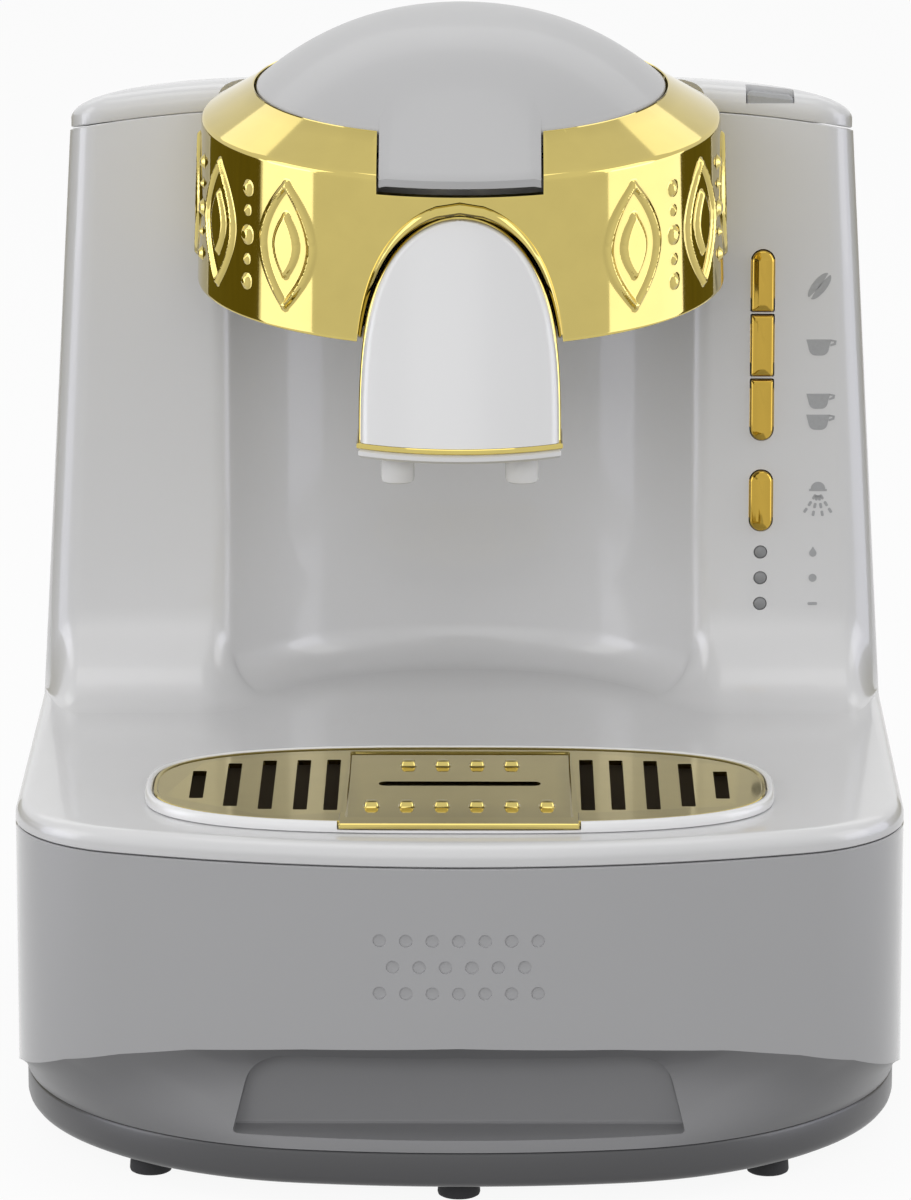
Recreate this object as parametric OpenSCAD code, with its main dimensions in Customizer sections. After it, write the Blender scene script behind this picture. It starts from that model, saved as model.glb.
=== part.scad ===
// Electric coffee maker for small cups: a deep base with a drip tray, a tower with
// a niche and a water tank behind it, and a tilted brewing head with a twin spout.
// Millimetres. +Z is up, -Y is the front, and the origin is under the middle.

/* [Base] */
// Width of the base
body_w = 230; // [220:1:245]
// Depth from the front of the base to the back of the tower
body_d = 265; // [260:1:280]
// Height of the cup deck above the table
deck_z = 96; // [92:1:104]
// Drop from the deck to the seam with the base shell
seam_drop = 6; // [5.5:0.5:8]
// Radius of the bowed front in plan
bow_r = 276; // [240:2:320]
// Front corner radius of the base shell in plan
corner_r = 38; // [30:1:44]
// Front corner radius of the bottom pan in plan
pan_corner_r = 72; // [60:1:80]
// Height of the bottom pan
pan_h = 10; // [9:0.5:12]
// Height of the sloping undercut above the pan
undercut_h = 28; // [24:1:30]
// Wall thickness of the mouldings
wall = 2.5; // [2:0.1:2.8]
// Height of a rubber foot below the pan
foot_h = 5; // [4:0.5:7]
// Radius of a rubber foot
foot_r = 5.5; // [4:0.5:7]
// Width of the finger recess in the undercut
grip_w = 114; // [90:2:120]
// Radius of one dimple of the buzzer field
dimple_r = 1.8; // [1:0.1:2.2]
// Distance between dimples along a row
dimple_pitch = 6.7; // [5.5:0.1:7.5]

/* [Tower] */
// Depth of the cup deck in front of the tower
deck_depth = 162.5; // [158:0.5:166]
// Height of the tower's seam above the deck
tower_h = 161; // [158:1:166]
// Width of the tower at its top seam
tower_top_w = 211; // [206:1:216]
// Radius of the niche behind the cups
niche_r = 73; // [72.5:0.1:74]
// Fall of the tower's top from its front to its back
top_fall = 16; // [12:0.5:18]
// Thickness of the tank lid
tank_lid_h = 9; // [8:0.5:11]
// Radius of the blend between the deck and the tower
blend_r = 24; // [14:1:28]

/* [Head] */
// Outer radius of the gold band at its lower edge
ring_r = 70; // [69:0.1:70.4]
// Height of the gold band
ring_h = 44; // [42:1:45]
// Forward tilt of the head
head_tilt = 5; // [4:0.5:6]
// Height of the band's lower edge above the deck
head_rise = 122; // [118:1:124]
// Radius of the lid at the band's bevel
lid_r = 54.5; // [53.5:0.1:55]
// Height of the bevel above the band
bevel_h = 8.5; // [8:0.5:9]
// Rise of the lid's dome above the bevel
dome_h = 19.5; // [16:0.5:22]
// Width of the lid's front tongue
tongue_w = 42; // [36:1:46]
// Outer radius of the brewing pot
pot_r = 42; // [38:0.5:42.5]

/* [Spout] */
// Width of the spout at its foot
spout_w = 52; // [48:1:54]
// Height of the spout cover
spout_h = 57; // [54:1:58]
// Radius of the spout's rounded front in plan
spout_round_r = 46; // [42:1:52]
// Distance between the two coffee nozzles
nozzle_pitch = 32; // [26:1:34]
// Outer radius of a nozzle
nozzle_r = 4.3; // [3.6:0.1:5]

/* [Tray] */
// Width of the drip tray's rim
tray_w = 163; // [150:1:168]
// Depth of the drip tray's rim, front to back
tray_d = 82; // [74:1:86]
// Depth of the tray's basin below the deck
tray_depth = 24; // [16:1:28]
// Distance from the front of the base to the tray's rim
tray_edge = 11; // [9:1:14]

/* [Buttons] */
// Width of a button
button_w = 6; // [5:0.2:7]
// Height of a button in the stack of three
button_h = 16.7; // [15:0.1:16.9]
// Travel of a button
button_travel = 1.5; // [1:0.1:1.6]
// Distance of the buttons from the middle of the tower
button_x = 81.5; // [79:0.5:84]

/* [Tank] */
// Width of the water tank
tank_w = 168; // [150:1:180]
// Clearance of a lift-out or pressed piece
slip = 0.3; // [0.2:0.05:0.4]
// Radius of a hinge pin
pin_r = 1.5; // [1.2:0.1:1.6]
// Radial clearance of a running fit
run_fit = 0.05; // [0.02:0.01:0.09]

/* [Hidden] */

$fn = 72;
eps = 0.02;

front_y = -body_d / 2;
rear_y = body_d / 2;
pan_z = foot_h;
pan_top = pan_z + pan_h;
undercut_top = pan_top + undercut_h;
seam_z = deck_z - seam_drop;
edge_r = seam_drop - 1;
deck_t = 3;

wall_y = front_y + deck_depth;
tower_top = deck_z + tower_h;
top_slope = atan(top_fall / (rear_y - wall_y));
rear_top = tower_top - top_fall;
split_y = wall_y + 68;
tower_front_r = 10;
rear_r = 32;
niche_y = wall_y - 34.8;
niche_out_r = niche_r + wall;

head_y = wall_y - 32;
head_z = deck_z + head_rise;
band_t = 2.5;
band_top_r = ring_r - 1.5;
pad_half = 34;
bracket_gap = 0.4;
hinge_y = lid_r + 3.5;
hinge_z = ring_h + 6;
knuckle_r = 3.5;
knuckle_half = 15;
lug_t = 4;
notch_drop = 4.5;

spout_z = head_z - 29;
spout_back = head_y - ring_r + 10;
spout_front = spout_back - 27;
spout_top_y = spout_back - 12;
lean = atan((spout_top_y - spout_front) / spout_h);
trim_t = 1.5;
nozzle_tip = 12;
nozzle_y = spout_front + 17;
pipe_y = nozzle_y + 3;

tray_y = front_y + tray_edge + tray_d / 2;
rim_h = 3;
rim_t = 2.5;
grille_t = 1.6;

button_front = wall_y - 1.5;
button_back = wall_y + 6;
stack_top = deck_z + 123;
stack_gap = 1.1;
clean_gap = 8.5;
board_y = wall_y + 10;
light_pitch = 7.2;

chassis_t = 2.5;
chassis_top = seam_z + chassis_t;
tank_y0 = wall_y + 48;
tank_y1 = rear_y - 9;
tank_z = chassis_top + 4.5;
tank_top = rear_top - 5;
seat_x = 0;
seat_y = (tank_y0 + tank_y1) / 2;
seat_bore_r = 9;
tank_axis_y = rear_y - 4.5;
tank_axis_z = tower_top + 4.7 - (tank_axis_y - wall_y) * tan(top_slope);
tank_ear_x = 45;
tank_ear_t = 8;
tank_round = 4.4;

pump_x = -(body_w / 2 - 25);
pump_y = wall_y + 23;
pump_r = 16;

// ---- shared outlines -------------------------------------------------------

// Points of an arc, from step first to step last of n
function arc(c, r, a0, a1, n, first, last) = [for (i = [first:last])
    let (t = a0 + (a1 - a0) * i / n) [c[0] + r * cos(t), c[1] + r * sin(t)]];

// Plan with a bowed front whose arc runs smoothly into the corner arcs
function bowed_points(inset, corner) = let (
    half = body_w / 2 - inset,
    bow = bow_r - inset,
    cr = corner - inset,
    rr = rear_r - inset,
    cx = half - cr,
    cy = front_y + bow_r - sqrt((bow - cr) * (bow - cr) - cx * cx),
    a = asin(cx / (bow - cr)),
    back = rear_y - inset - rr)
    concat(
        arc([0, front_y + bow_r], bow, 270 - a, 270 + a, 14, 0, 14),
        arc([cx, cy], cr, 270 + a, 360, 9, 1, 9),
        arc([half - rr, back], rr, 0, 90, 6, 0, 6),
        arc([-half + rr, back], rr, 90, 180, 6, 0, 6),
        arc([-cx, cy], cr, 180, 270 - a, 9, 0, 8));

module bowed_plan(inset, corner) {
    polygon(bowed_points(inset, corner));
}

// The deck as one slab whose upper edge is rounded
module deck_slab() {
    hull() {
        translate([0, 0, seam_z]) linear_extrude(1) bowed_plan(0, corner_r);
        for (a = [30, 60, 90]) translate([0, 0, deck_z - edge_r * (1 - sin(a)) - eps])
            linear_extrude(eps) bowed_plan(edge_r * (1 - cos(a)), corner_r);
    }
}

// Plan of the tower at one level
module tower_plan(half, inset) {
    fr = tower_front_r - inset;
    rr = rear_r - inset;
    y0 = wall_y + inset;
    y1 = rear_y - inset;
    for (s = [-1, 1]) {
        translate([s * (half - inset - fr), y0 + fr]) circle(fr);
        translate([s * (half - inset - rr), y1 - rr]) circle(rr);
    }
    translate([-half + inset, y0 + fr]) square([2 * (half - inset), y1 - rr - y0 - fr]);
    translate([-half + inset + rr, y0]) square([2 * (half - inset - rr), y1 - y0]);
    translate([-half + inset + fr, y0]) square([2 * (half - inset - fr), y1 - rr - y0]);
}

// The tapering tower as one closed solid
module tower_solid(inset, z0, z1) {
    slope = (body_w - tower_top_w) / 2 / (tower_top - seam_z);
    hull() {
        for (z = [z0, z1 - eps]) translate([0, 0, z]) linear_extrude(eps)
            tower_plan(body_w / 2 - slope * (z - seam_z), inset, $fn = 40);
    }
}

module tower_walls() {
    difference() {
        tower_solid(0, seam_z, tower_top + 1);
        tower_solid(wall, seam_z - 1, tower_top + 2);
    }
}

// Leans a shape back with the tower's falling top
module leaned_back() {
    translate([0, wall_y, tower_top]) rotate([-top_slope, 0, 0])
        translate([0, -wall_y, -tower_top]) children();
}

// All that lies above the tower's falling top
module above_top() {
    leaned_back() translate([-body_w, wall_y - body_d, tower_top]) cube([2 * body_w, 2 * body_d, 60]);
}

// Outline that is full in the middle and rounds off at its ends
function lens_points(a, b) = [for (t = [0:5:355])
    [a * sign(cos(t)) * pow(abs(cos(t)), 0.8), b * sign(sin(t)) * pow(abs(sin(t)), 0.8)]];

module lens(inset) {
    translate([0, tray_y]) polygon(lens_points(tray_w / 2 - inset, tray_d / 2 - inset));
}

// Front outline of the spout: nearly straight sides under a rounded top
module bullet(half, h) {
    right = [for (t = [0:0.04:1]) [half * sqrt(1 - pow(t, 3)), h * t]];
    left = [for (i = [len(right) - 2:-1:0]) [-right[i][0], right[i][1]]];
    polygon(concat(right, left));
}

module stadium(w, h) {
    hull() for (s = [-1, 1]) translate([0, s * (h - w) / 2]) circle(w / 2, $fn = 32);
}

// Places its children in the tilted frame of the brewing head
module in_head() {
    translate([0, head_y, head_z]) rotate([head_tilt, 0, 0]) children();
}

// A round hose through a list of points
module hose(points, r) {
    for (i = [0:len(points) - 2]) {
        v = points[i + 1] - points[i];
        l = norm(v);
        translate(points[i]) rotate([0, acos(v[2] / l), atan2(v[1], v[0])]) cylinder(h = l, r = r);
        if (i > 0) translate(points[i]) sphere(r + 0.06);
    }
}

module ring(r_out, r_in, h) {
    difference() {
        cylinder(h = h, r = r_out);
        translate([0, 0, -1]) cylinder(h = h + 2, r = r_in);
    }
}

// ---- base ------------------------------------------------------------------

shell_posts = [for (s = [-1, 1]) for (p = [[body_w / 2 - 7, -30], [body_w / 2 - 7, 60],
    [50, rear_y - 7]]) [s * p[0], p[1]]];
post_r = 5;
screw_r = 1.5;

module base_shell() {
    color("gainsboro") difference() {
        union() {
            difference() {
                shell_solid(0, pan_top, seam_z);
                difference() {
                    shell_solid(wall, pan_top - 1, seam_z + 4);
                    translate([-grip_w / 2 - wall, front_y, grip_z - wall])
                        cube([grip_w + 2 * wall, grip_deep + wall, grip_h + 2 * wall]);
                }
            }
            chassis_ledge();
            for (p = shell_posts) translate([p[0], p[1], pan_top]) cylinder(h = 30, r = post_r);
        }
        grip_pocket();
        dimples();
        for (p = shell_posts) translate([p[0], p[1], pan_top - 1]) cylinder(h = 17, r = screw_r);
    }
}

// The shell as one closed solid: the pan's outline below, the full one from the undercut up
module shell_solid(inset, z0, z1) {
    hull() {
        translate([0, 0, z0]) linear_extrude(eps) bowed_plan(inset, pan_corner_r);
        translate([0, 0, undercut_top]) linear_extrude(z1 - undercut_top) bowed_plan(inset, corner_r);
    }
}

grip_z = pan_top + 3;
grip_h = undercut_h - 8;
grip_deep = 16;

module grip_pocket() {
    translate([0, front_y + grip_deep, grip_z]) rotate([90, 0, 0]) linear_extrude(grip_deep + 5)
        polygon([[-grip_w / 2, 0], [grip_w / 2, 0], [grip_w / 2 - 4, grip_h - 5],
            [grip_w / 2 - 10, grip_h], [-grip_w / 2 + 10, grip_h], [-grip_w / 2 + 4, grip_h - 5]]);
}

dimple_z = deck_z - 32;

module dimples() {
    for (row = [-1, 0, 1]) {
        n = row == 0 ? 6 : 7;
        for (i = [0:n - 1]) {
            x = (i - (n - 1) / 2) * dimple_pitch;
            translate([x, front_y + bow_r - sqrt(bow_r * bow_r - x * x) + 0.8, dimple_z + row * 6.9])
                rotate([90, 0, 0]) cylinder(h = 4, r = dimple_r);
        }
    }
}

module chassis_ledge() {
    translate([0, 0, seam_z - 5]) linear_extrude(5) difference() {
        bowed_plan(wall / 2, corner_r);
        bowed_plan(wall + 6, corner_r);
        translate([-body_w, front_y - 1]) square([2 * body_w, wall_y - front_y + 5]);
    }
}

foot_spots = [[0, front_y + 13], [-80, front_y + 33], [80, front_y + 33],
    [-84, rear_y - 26], [84, rear_y - 26]];
foot_peg = 2;
board_posts = [for (x = [-84, 14]) for (y = [6, 84]) [x, y]];
board_z = pan_z + 16;

module bottom_pan() {
    color("gray") difference() {
        union() {
            difference() {
                translate([0, 0, pan_z]) linear_extrude(pan_h) bowed_plan(0, pan_corner_r);
                translate([0, 0, pan_z + wall]) linear_extrude(pan_h) bowed_plan(wall, pan_corner_r);
            }
            for (p = shell_posts) translate([p[0], p[1], pan_z]) cylinder(h = pan_h, r = post_r);
            for (p = board_posts) translate([p[0], p[1], pan_z]) cylinder(h = board_z - pan_z, r = 3);
        }
        for (p = foot_spots) translate([p[0], p[1], pan_z - 1]) cylinder(h = 1 + foot_peg, r = 3);
        for (p = shell_posts) translate([p[0], p[1], pan_z - 1]) {
            cylinder(h = 5, r = 3.3);
            cylinder(h = pan_h + 2, r = screw_r + 0.2);
        }
    }
}

module feet() {
    color("dimgray") for (p = foot_spots) translate([p[0], p[1], 0]) {
        cylinder(h = foot_h, r = foot_r);
        cylinder(h = foot_h + foot_peg - 0.2, r = 3 - run_fit);
    }
}

module pan_screws() {
    color("silver") for (p = shell_posts) translate([p[0], p[1], pan_z + 1.8]) {
        cylinder(h = 2.2, r = 3);
        cylinder(h = pan_h + 8, r = screw_r - run_fit);
    }
}

module power_board() {
    color("darkgreen") translate([-88, 0, board_z]) cube([106, 90, 1.6]);
    color("darkgreen") translate([-70, 12, board_z + 1.6 - eps]) cube([34, 30, 22]);
    color("darkgreen") translate([-20, 20, board_z + 1.6 - eps]) cube([22, 16, 16]);
}

module buzzer() {
    color("black") translate([0, front_y + wall + 8.3, dimple_z]) rotate([90, 0, 0])
        cylinder(h = 8, r = 8);
}

// ---- tower -----------------------------------------------------------------

seat_hole_r = 14.3;
hose_r = 3;

module chassis_plate() {
    slope = (body_w - tower_top_w) / 2 / (tower_top - seam_z);
    color("darkgray") difference() {
        translate([0, 0, seam_z]) linear_extrude(chassis_t)
            tower_plan(body_w / 2 - slope * chassis_t, wall + slip);
        translate([seat_x, seat_y, seam_z - 1]) cylinder(h = chassis_t + 2, r = seat_hole_r);
        translate([pump_x, pump_y, seam_z - 1]) cylinder(h = chassis_t + 2, r = hose_r + 1);
        niche_solid(niche_out_r + slip, seam_z - 1, deck_z);
    }
}

module niche_solid(r, z0, z1) {
    translate([0, niche_y, z0]) cylinder(h = z1 - z0, r = r);
}

function button_z(i) = stack_top - button_h / 2 - i * (button_h + stack_gap);
clean_z = button_z(2) - button_h / 2 - clean_gap - button_h / 2;
button_levels = [button_z(0), button_z(1), button_z(2), clean_z];
light_levels = [for (i = [0:2]) clean_z - button_h / 2 - 6 - i * light_pitch];
light_r = 1.75;
icon_x = button_x + 15.5;
board_bosses = [for (x = [button_x - 8.5, button_x + 19.5])
    for (z = [light_levels[2] - 4, button_z(0) + 5]) [x, z]];

module front_housing() {
    color("whitesmoke") difference() {
        union() {
            deck();
            intersection() {
                union() {
                    tower_walls();
                    niche_solid(niche_out_r, deck_z - deck_t, tower_top + 3);
                }
                translate([-body_w, wall_y, 0]) cube([2 * body_w, split_y - wall_y, tower_top + 5]);
            }
            blend();
            for (p = board_bosses) translate([p[0], wall_y + 1, p[1]]) rotate([-90, 0, 0])
                cylinder(h = board_y - wall_y - 1, r = 2.2);
        }
        niche_solid(niche_r, deck_z, tower_top + 4);
        above_top();
        translate([0, 0, deck_z - 10]) linear_extrude(20) lens(rim_t);
        for (z = button_levels) translate([button_x, wall_y + 5, z]) rotate([90, 0, 0])
            linear_extrude(8) square([button_w + 2 * slip, button_h + 2 * slip], center = true);
        for (z = light_levels) translate([button_x, wall_y - 1, z]) rotate([-90, 0, 0])
            cylinder(h = wall + 2, r = light_r + run_fit);
        translate([0, wall_y + 0.5 + eps, 0]) icons(0.5 + 1);
        translate([0, wall_y, 0]) hose_port();
    }
}

module hose_port() {
    translate([hose_in_x, 0, hose_in_z]) rotate([-90, 0, 0]) cylinder(h = 60, r = outlet_r + 0.4);
}

// The cup deck in front of the tower, hollow below
module deck() {
    difference() {
        deck_slab();
        translate([0, 0, seam_z - 1]) linear_extrude(seam_drop + 1 - deck_t) bowed_plan(edge_r, corner_r);
        translate([-body_w, wall_y + tower_front_r + 2, 0]) cube([2 * body_w, body_d, deck_z + 1]);
        tower_solid(wall - 0.6, seam_z - 1, tower_top + 2);
    }
}

// Concave blend that carries the deck up into the tower's front wall
module blend() {
    half = body_w / 2 - tower_front_r;
    translate([-half, wall_y, deck_z]) rotate([90, 0, 90]) linear_extrude(2 * half)
        polygon(concat([[1, -1], [1, blend_r], [0, blend_r]],
            arc([-blend_r, blend_r], blend_r, 0, -90, 8, 1, 8), [[-blend_r, -1]]));
}

// Pictograms beside the buttons: bean, one cup, two cups, spray
module icons(depth) {
    rotate([90, 0, 0]) linear_extrude(depth) {
        translate([icon_x, button_z(0)]) rotate(-35) stadium(3, 8);
        translate([icon_x, button_z(1)]) cup_mark();
        translate([icon_x, button_z(2) + 3]) cup_mark();
        translate([icon_x, button_z(2) - 3]) cup_mark();
        translate([icon_x, clean_z]) for (a = [-28, 0, 28]) rotate(a) translate([-0.5, -5])
            square([1, 7]);
    }
}

module cup_mark() {
    intersection() {
        circle(4);
        translate([-4, -4]) square([8, 4.6]);
    }
}

module panel_icons() {
    color("darkgray") translate([0, wall_y + 0.5, 0]) icons(0.5);
}

module button_board() {
    color("darkgreen") translate([button_x - 11.5, board_y, light_levels[2] - 7])
        cube([34, 1.6, button_z(0) + 8 - light_levels[2] + 7]);
}

module tact_switches() {
    color("black") for (z = button_levels) translate([button_x - 3, button_back + button_travel + 0.3,
        z - 3]) cube([6, board_y - button_back - button_travel - 0.3, 6]);
}

module indicator_lights() {
    color("slategray") for (z = light_levels) translate([button_x, wall_y - 0.1, z])
        rotate([-90, 0, 0]) cylinder(h = board_y - wall_y + 0.1, r = light_r);
}

// One button: the cap shows, and its side flanges keep it behind the wall
module button(z, round_top, round_foot) {
    deep = button_back - button_front;
    color("goldenrod") {
        translate([button_x, button_back, z]) rotate([90, 0, 0]) linear_extrude(deep) intersection() {
            square([button_w, button_h], center = true);
            union() {
                stadium(button_w, button_h);
                if (!round_top) translate([-button_w / 2, 0]) square([button_w, button_h / 2]);
                if (!round_foot) translate([-button_w / 2, -button_h / 2])
                    square([button_w, button_h / 2]);
            }
        }
        translate([button_x - button_w / 2 - 1.2, wall_y + wall + 0.3, z - button_h / 2 + 3])
            cube([button_w + 2.4, 1, button_h - 6]);
    }
}

module button_slow_brew() { button(button_z(0), true, false); }
module button_one_cup() { button(button_z(1), false, false); }
module button_two_cups() { button(button_z(2), false, true); }
module button_clean() { button(clean_z, true, true); }

cover_spots = [for (s = [-1, 1]) for (z = [seam_z + 20, tower_top - 40]) [s * 78, z]];
gland_x = 55;
gland_z = seam_z + 14;
gland_r = 6;

module rear_cover() {
    color("whitesmoke") difference() {
        union() {
            intersection() {
                tower_walls();
                translate([-body_w, split_y, 0]) cube([2 * body_w, body_d, tower_top + 5]);
            }
            for (p = cover_spots) translate([p[0], rear_y - 8, p[1]]) rotate([-90, 0, 0])
                cylinder(h = 6, r = 4.5);
        }
        above_top();
        for (p = cover_spots) translate([p[0], rear_y + 1, p[1]]) rotate([90, 0, 0]) {
            cylinder(h = 4, r = 3.2);
            cylinder(h = 12, r = screw_r + run_fit);
        }
        translate([gland_x, rear_y + 1, gland_z]) rotate([90, 0, 0])
            cylinder(h = 8, r = gland_r + run_fit);
        for (i = [-4:4]) translate([-50 + i * 5, rear_y - wall - 1, seam_z + 8])
            cube([2, wall + 2, 26]);
    }
}

module cover_screws() {
    color("silver") for (p = cover_spots) translate([p[0], rear_y - 0.4, p[1]]) rotate([90, 0, 0]) {
        cylinder(h = 2.2, r = 3);
        cylinder(h = 7.4, r = screw_r);
    }
}

module cord_gland() {
    color("dimgray") translate([gland_x, rear_y, gland_z]) rotate([90, 0, 0]) difference() {
        union() {
            cylinder(h = 6, r = gland_r);
            translate([0, 0, wall + 0.05]) cylinder(h = 3, r = gland_r + 3);
        }
        translate([0, 0, -1]) cylinder(h = 9, r = 3.5);
    }
}

damper_h = 3;
pump_h = 54;

module pump_damper() {
    color("dimgray") translate([pump_x, pump_y, chassis_top]) ring(pump_r - 2, 6, damper_h);
}

module water_pump() {
    color("steelblue") translate([pump_x, pump_y, chassis_top + damper_h]) {
        cylinder(h = pump_h, r = pump_r);
        cylinder(h = pump_h + 6, r = 5);
    }
}

outlet_r = 2.5;
hose_in_x = -27;
hose_in_z = head_z + 20;
hose_turn_y = niche_y + 75.4;
low_hose_z = seam_z - 24;

module inlet_hose() {
    color("silver") hose([[seat_x, seat_y, seat_foot_z - 0.3], [seat_x, seat_y, low_hose_z],
        [pump_x, pump_y, low_hose_z], [pump_x, pump_y, chassis_top + damper_h - 0.3]], hose_r);
}

module outlet_hose() {
    color("silver") hose([[pump_x, pump_y, chassis_top + damper_h + pump_h + 6.3],
        [pump_x, pump_y, hose_in_z], [hose_in_x, hose_turn_y, hose_in_z],
        [hose_in_x, head_y + 38, hose_in_z]], outlet_r);
}

// ---- brewing head ----------------------------------------------------------

// The bracket pad that meets the niche wall behind the head
module head_base() {
    color("whitesmoke") difference() {
        union() {
            in_head() {
                cylinder(h = 3, r = ring_r - band_t - bracket_gap - 0.4);
                ring(pot_r + 5, pot_r + 2, ring_h - 1.2);
                for (s = [-1, 1]) lug(s);
            }
            intersection() {
                niche_solid(niche_r - eps, head_z, head_z + 34);
                translate([-pad_half, niche_y + niche_r - 12, 0]) cube([2 * pad_half, 20, 400]);
                translate([-pad_half, head_y + ring_r - 12, 0]) cube([2 * pad_half, 40, 400]);
            }
        }
        in_head() translate([0, hinge_y, hinge_z]) rotate([0, 90, 0])
            cylinder(h = 100, r = pin_r + run_fit, center = true);
        translate([0, 20, 0]) hose_port();
        pipe_port();
        translate([0, spout_back, spout_z - 5]) rotate([90, 0, 0]) linear_extrude(30)
            square([2 * spout_w, 3 * spout_h], center = true);
    }
}

// Upright that carries one end of the lid's hinge pin
module lug(s) {
    x0 = s > 0 ? knuckle_half + 1 : -knuckle_half - 1 - lug_t;
    translate([x0, hinge_y, 0]) rotate([90, 0, 90]) linear_extrude(lug_t) union() {
        translate([0, hinge_z]) circle(knuckle_r);
        translate([-knuckle_r, 1]) square([2 * knuckle_r, hinge_z - 1]);
    }
}

module pipe_port() {
    translate([0, head_y, head_z + 12]) rotate([90, 0, 0]) cylinder(h = 60, r = pipe_r + 1);
}

// Section of the gold band and its bevel, as radius and height
module band_section() {
    polygon([[ring_r, 0], [band_top_r, ring_h], [lid_r, ring_h + bevel_h],
        [lid_r, ring_h + bevel_h - band_t], [band_top_r - band_t, ring_h - band_t / 2],
        [ring_r - band_t, 0]]);
}

module head_ring() {
    color("gold") difference() {
        in_head() difference() {
            rotate_extrude($fn = 180) band_section();
            translate([-tongue_w / 2 - 0.4, -ring_r - 5, ring_h - notch_drop])
                cube([tongue_w + 0.8, ring_r, 40]);
            translate([-knuckle_half - lug_t - 3, 30, ring_h - 4])
                cube([2 * (knuckle_half + lug_t + 3), ring_r, 40]);
            translate([-pad_half - 1, 20, -5]) cube([2 * pad_half + 2, ring_r, ring_h + 1]);
        }
        translate([0, spout_back + 4, spout_z]) rotate([90, 0, 0]) linear_extrude(40)
            bullet(spout_w / 2 + 1.4, spout_h + 3);
    }
}

pot_wall = 1.2;
pot_floor = 9;

module brew_pot() {
    color("silver") difference() {
        in_head() difference() {
            union() {
                translate([0, 0, pot_floor]) cylinder(h = ring_h - pot_floor, r = pot_r);
                translate([0, 0, ring_h - 1]) cylinder(h = 1, r = pot_r + 4.5);
            }
            translate([0, 0, pot_floor + pot_wall]) cylinder(h = ring_h, r = pot_r - pot_wall);
        }
        pot_outlet();
    }
}

module pot_outlet() {
    translate([0, head_y - pot_r + 5, head_z + 12]) rotate([90, 0, 0]) cylinder(h = 20, r = 3);
}

module pot_heater() {
    color("dimgray") in_head() translate([0, 0, 3.2]) ring(pot_r - 4, 12, pot_floor - 3.5);
}

module thermostat() {
    color("black") in_head() translate([0, 0, 3.2]) cylinder(h = pot_floor - 3.5, r = 8);
}

pipe_r = 3;

module coffee_pipe() {
    top = head_z + 12;
    color("silver") hose([[0, head_y - pot_r - 1.6, top], [0, pipe_y, top],
        [0, pipe_y, spout_z + 12.8]], pipe_r);
}

module lid_hinge_pin() {
    color("silver") in_head() translate([0, hinge_y, hinge_z]) rotate([0, 90, 0])
        cylinder(h = 2 * (knuckle_half + lug_t + 1), r = pin_r, center = true);
}

skirt_r = lid_r - 2.5;
dome_r = (pow(lid_r - 0.4, 2) + dome_h * dome_h) / (2 * dome_h);
lid_edge_z = ring_h + bevel_h - 0.2;
liner_z = ring_h + 3.3;

module lid_dome() {
    color("lightgray") in_head() {
        difference() {
            intersection() {
                translate([0, 0, lid_edge_z + dome_h - dome_r]) sphere(dome_r, $fn = 180);
                translate([0, 0, lid_edge_z]) cylinder(h = dome_h + 1, r = lid_r - 0.4);
            }
            translate([0, 0, lid_edge_z + dome_h - dome_r]) sphere(dome_r - wall, $fn = 180);
        }
        difference() {
            translate([0, 0, liner_z]) cylinder(h = lid_edge_z - liner_z + 3, r = skirt_r);
            translate([0, 0, liner_z - 1]) cylinder(h = 20, r = skirt_r - 2);
        }
        intersection() {
            rotate_extrude($fn = 180) tongue_section();
            translate([-tongue_w / 2, -ring_r - 2, 0]) cube([tongue_w, ring_r, 100]);
        }
        difference() {
            union() {
                translate([0, hinge_y, hinge_z]) rotate([0, 90, 0])
                    cylinder(h = 2 * knuckle_half, r = knuckle_r, center = true);
                translate([-knuckle_half, skirt_r - 3, hinge_z - 2])
                    cube([2 * knuckle_half, hinge_y - skirt_r + 3, 4.5]);
            }
            translate([0, hinge_y, hinge_z]) rotate([0, 90, 0])
                cylinder(h = 100, r = pin_r + run_fit, center = true);
            translate([0, 0, liner_z - 5]) cylinder(h = 30, r = skirt_r - 2);
        }
    }
}

module tongue_section() {
    drop = 1;
    end_r = band_top_r - 0.2;
    polygon([[skirt_r - 1, lid_edge_z + 1.6], [lid_r - 0.6, lid_edge_z + 0.2], [end_r, ring_h - drop],
        [end_r, ring_h - drop - 1.8], [lid_r - 0.6, lid_edge_z - 2.2], [skirt_r - 1, lid_edge_z - 1]]);
}

module lid_liner() {
    color("darkgray") in_head() translate([0, 0, liner_z]) cylinder(h = 2, r = skirt_r - 2 - eps);
}

module lid_seal() {
    color("white") in_head() translate([0, 0, ring_h + 0.2]) ring(pot_r + 4, pot_r - 2,
        liner_z - ring_h - 0.2);
}

module foam_sensor() {
    color("black") in_head() translate([0, 0, liner_z + 2]) cylinder(h = 7, r = 9);
}

// ---- spout -----------------------------------------------------------------

// The leaning round front of the spout
module spout_front_round(r) {
    translate([0, spout_front + spout_round_r, spout_z]) rotate([-lean, 0, 0])
        translate([0, 0, -20]) cylinder(h = spout_h + 40, r = r, $fn = 180);
}

module spout_block(inset, front_inset, z_low, top_drop) {
    intersection() {
        translate([0, spout_back, spout_z]) rotate([90, 0, 0]) linear_extrude(45)
            bullet(spout_w / 2 - inset, spout_h - top_drop);
        spout_front_round(spout_round_r - front_inset);
        translate([-100, -200, z_low]) cube([200, 400, 100]);
    }
}

module spout_body() {
    color("gold") difference() {
        spout_block(0, 3, spout_z, 0);
        spout_block(1.8, 4.6, spout_z - 1, 1.8);
        translate([0, spout_back + 1, spout_z - 1]) rotate([90, 0, 0]) linear_extrude(6)
            bullet(spout_w / 2 - 5, spout_h - 12);
    }
}

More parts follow.
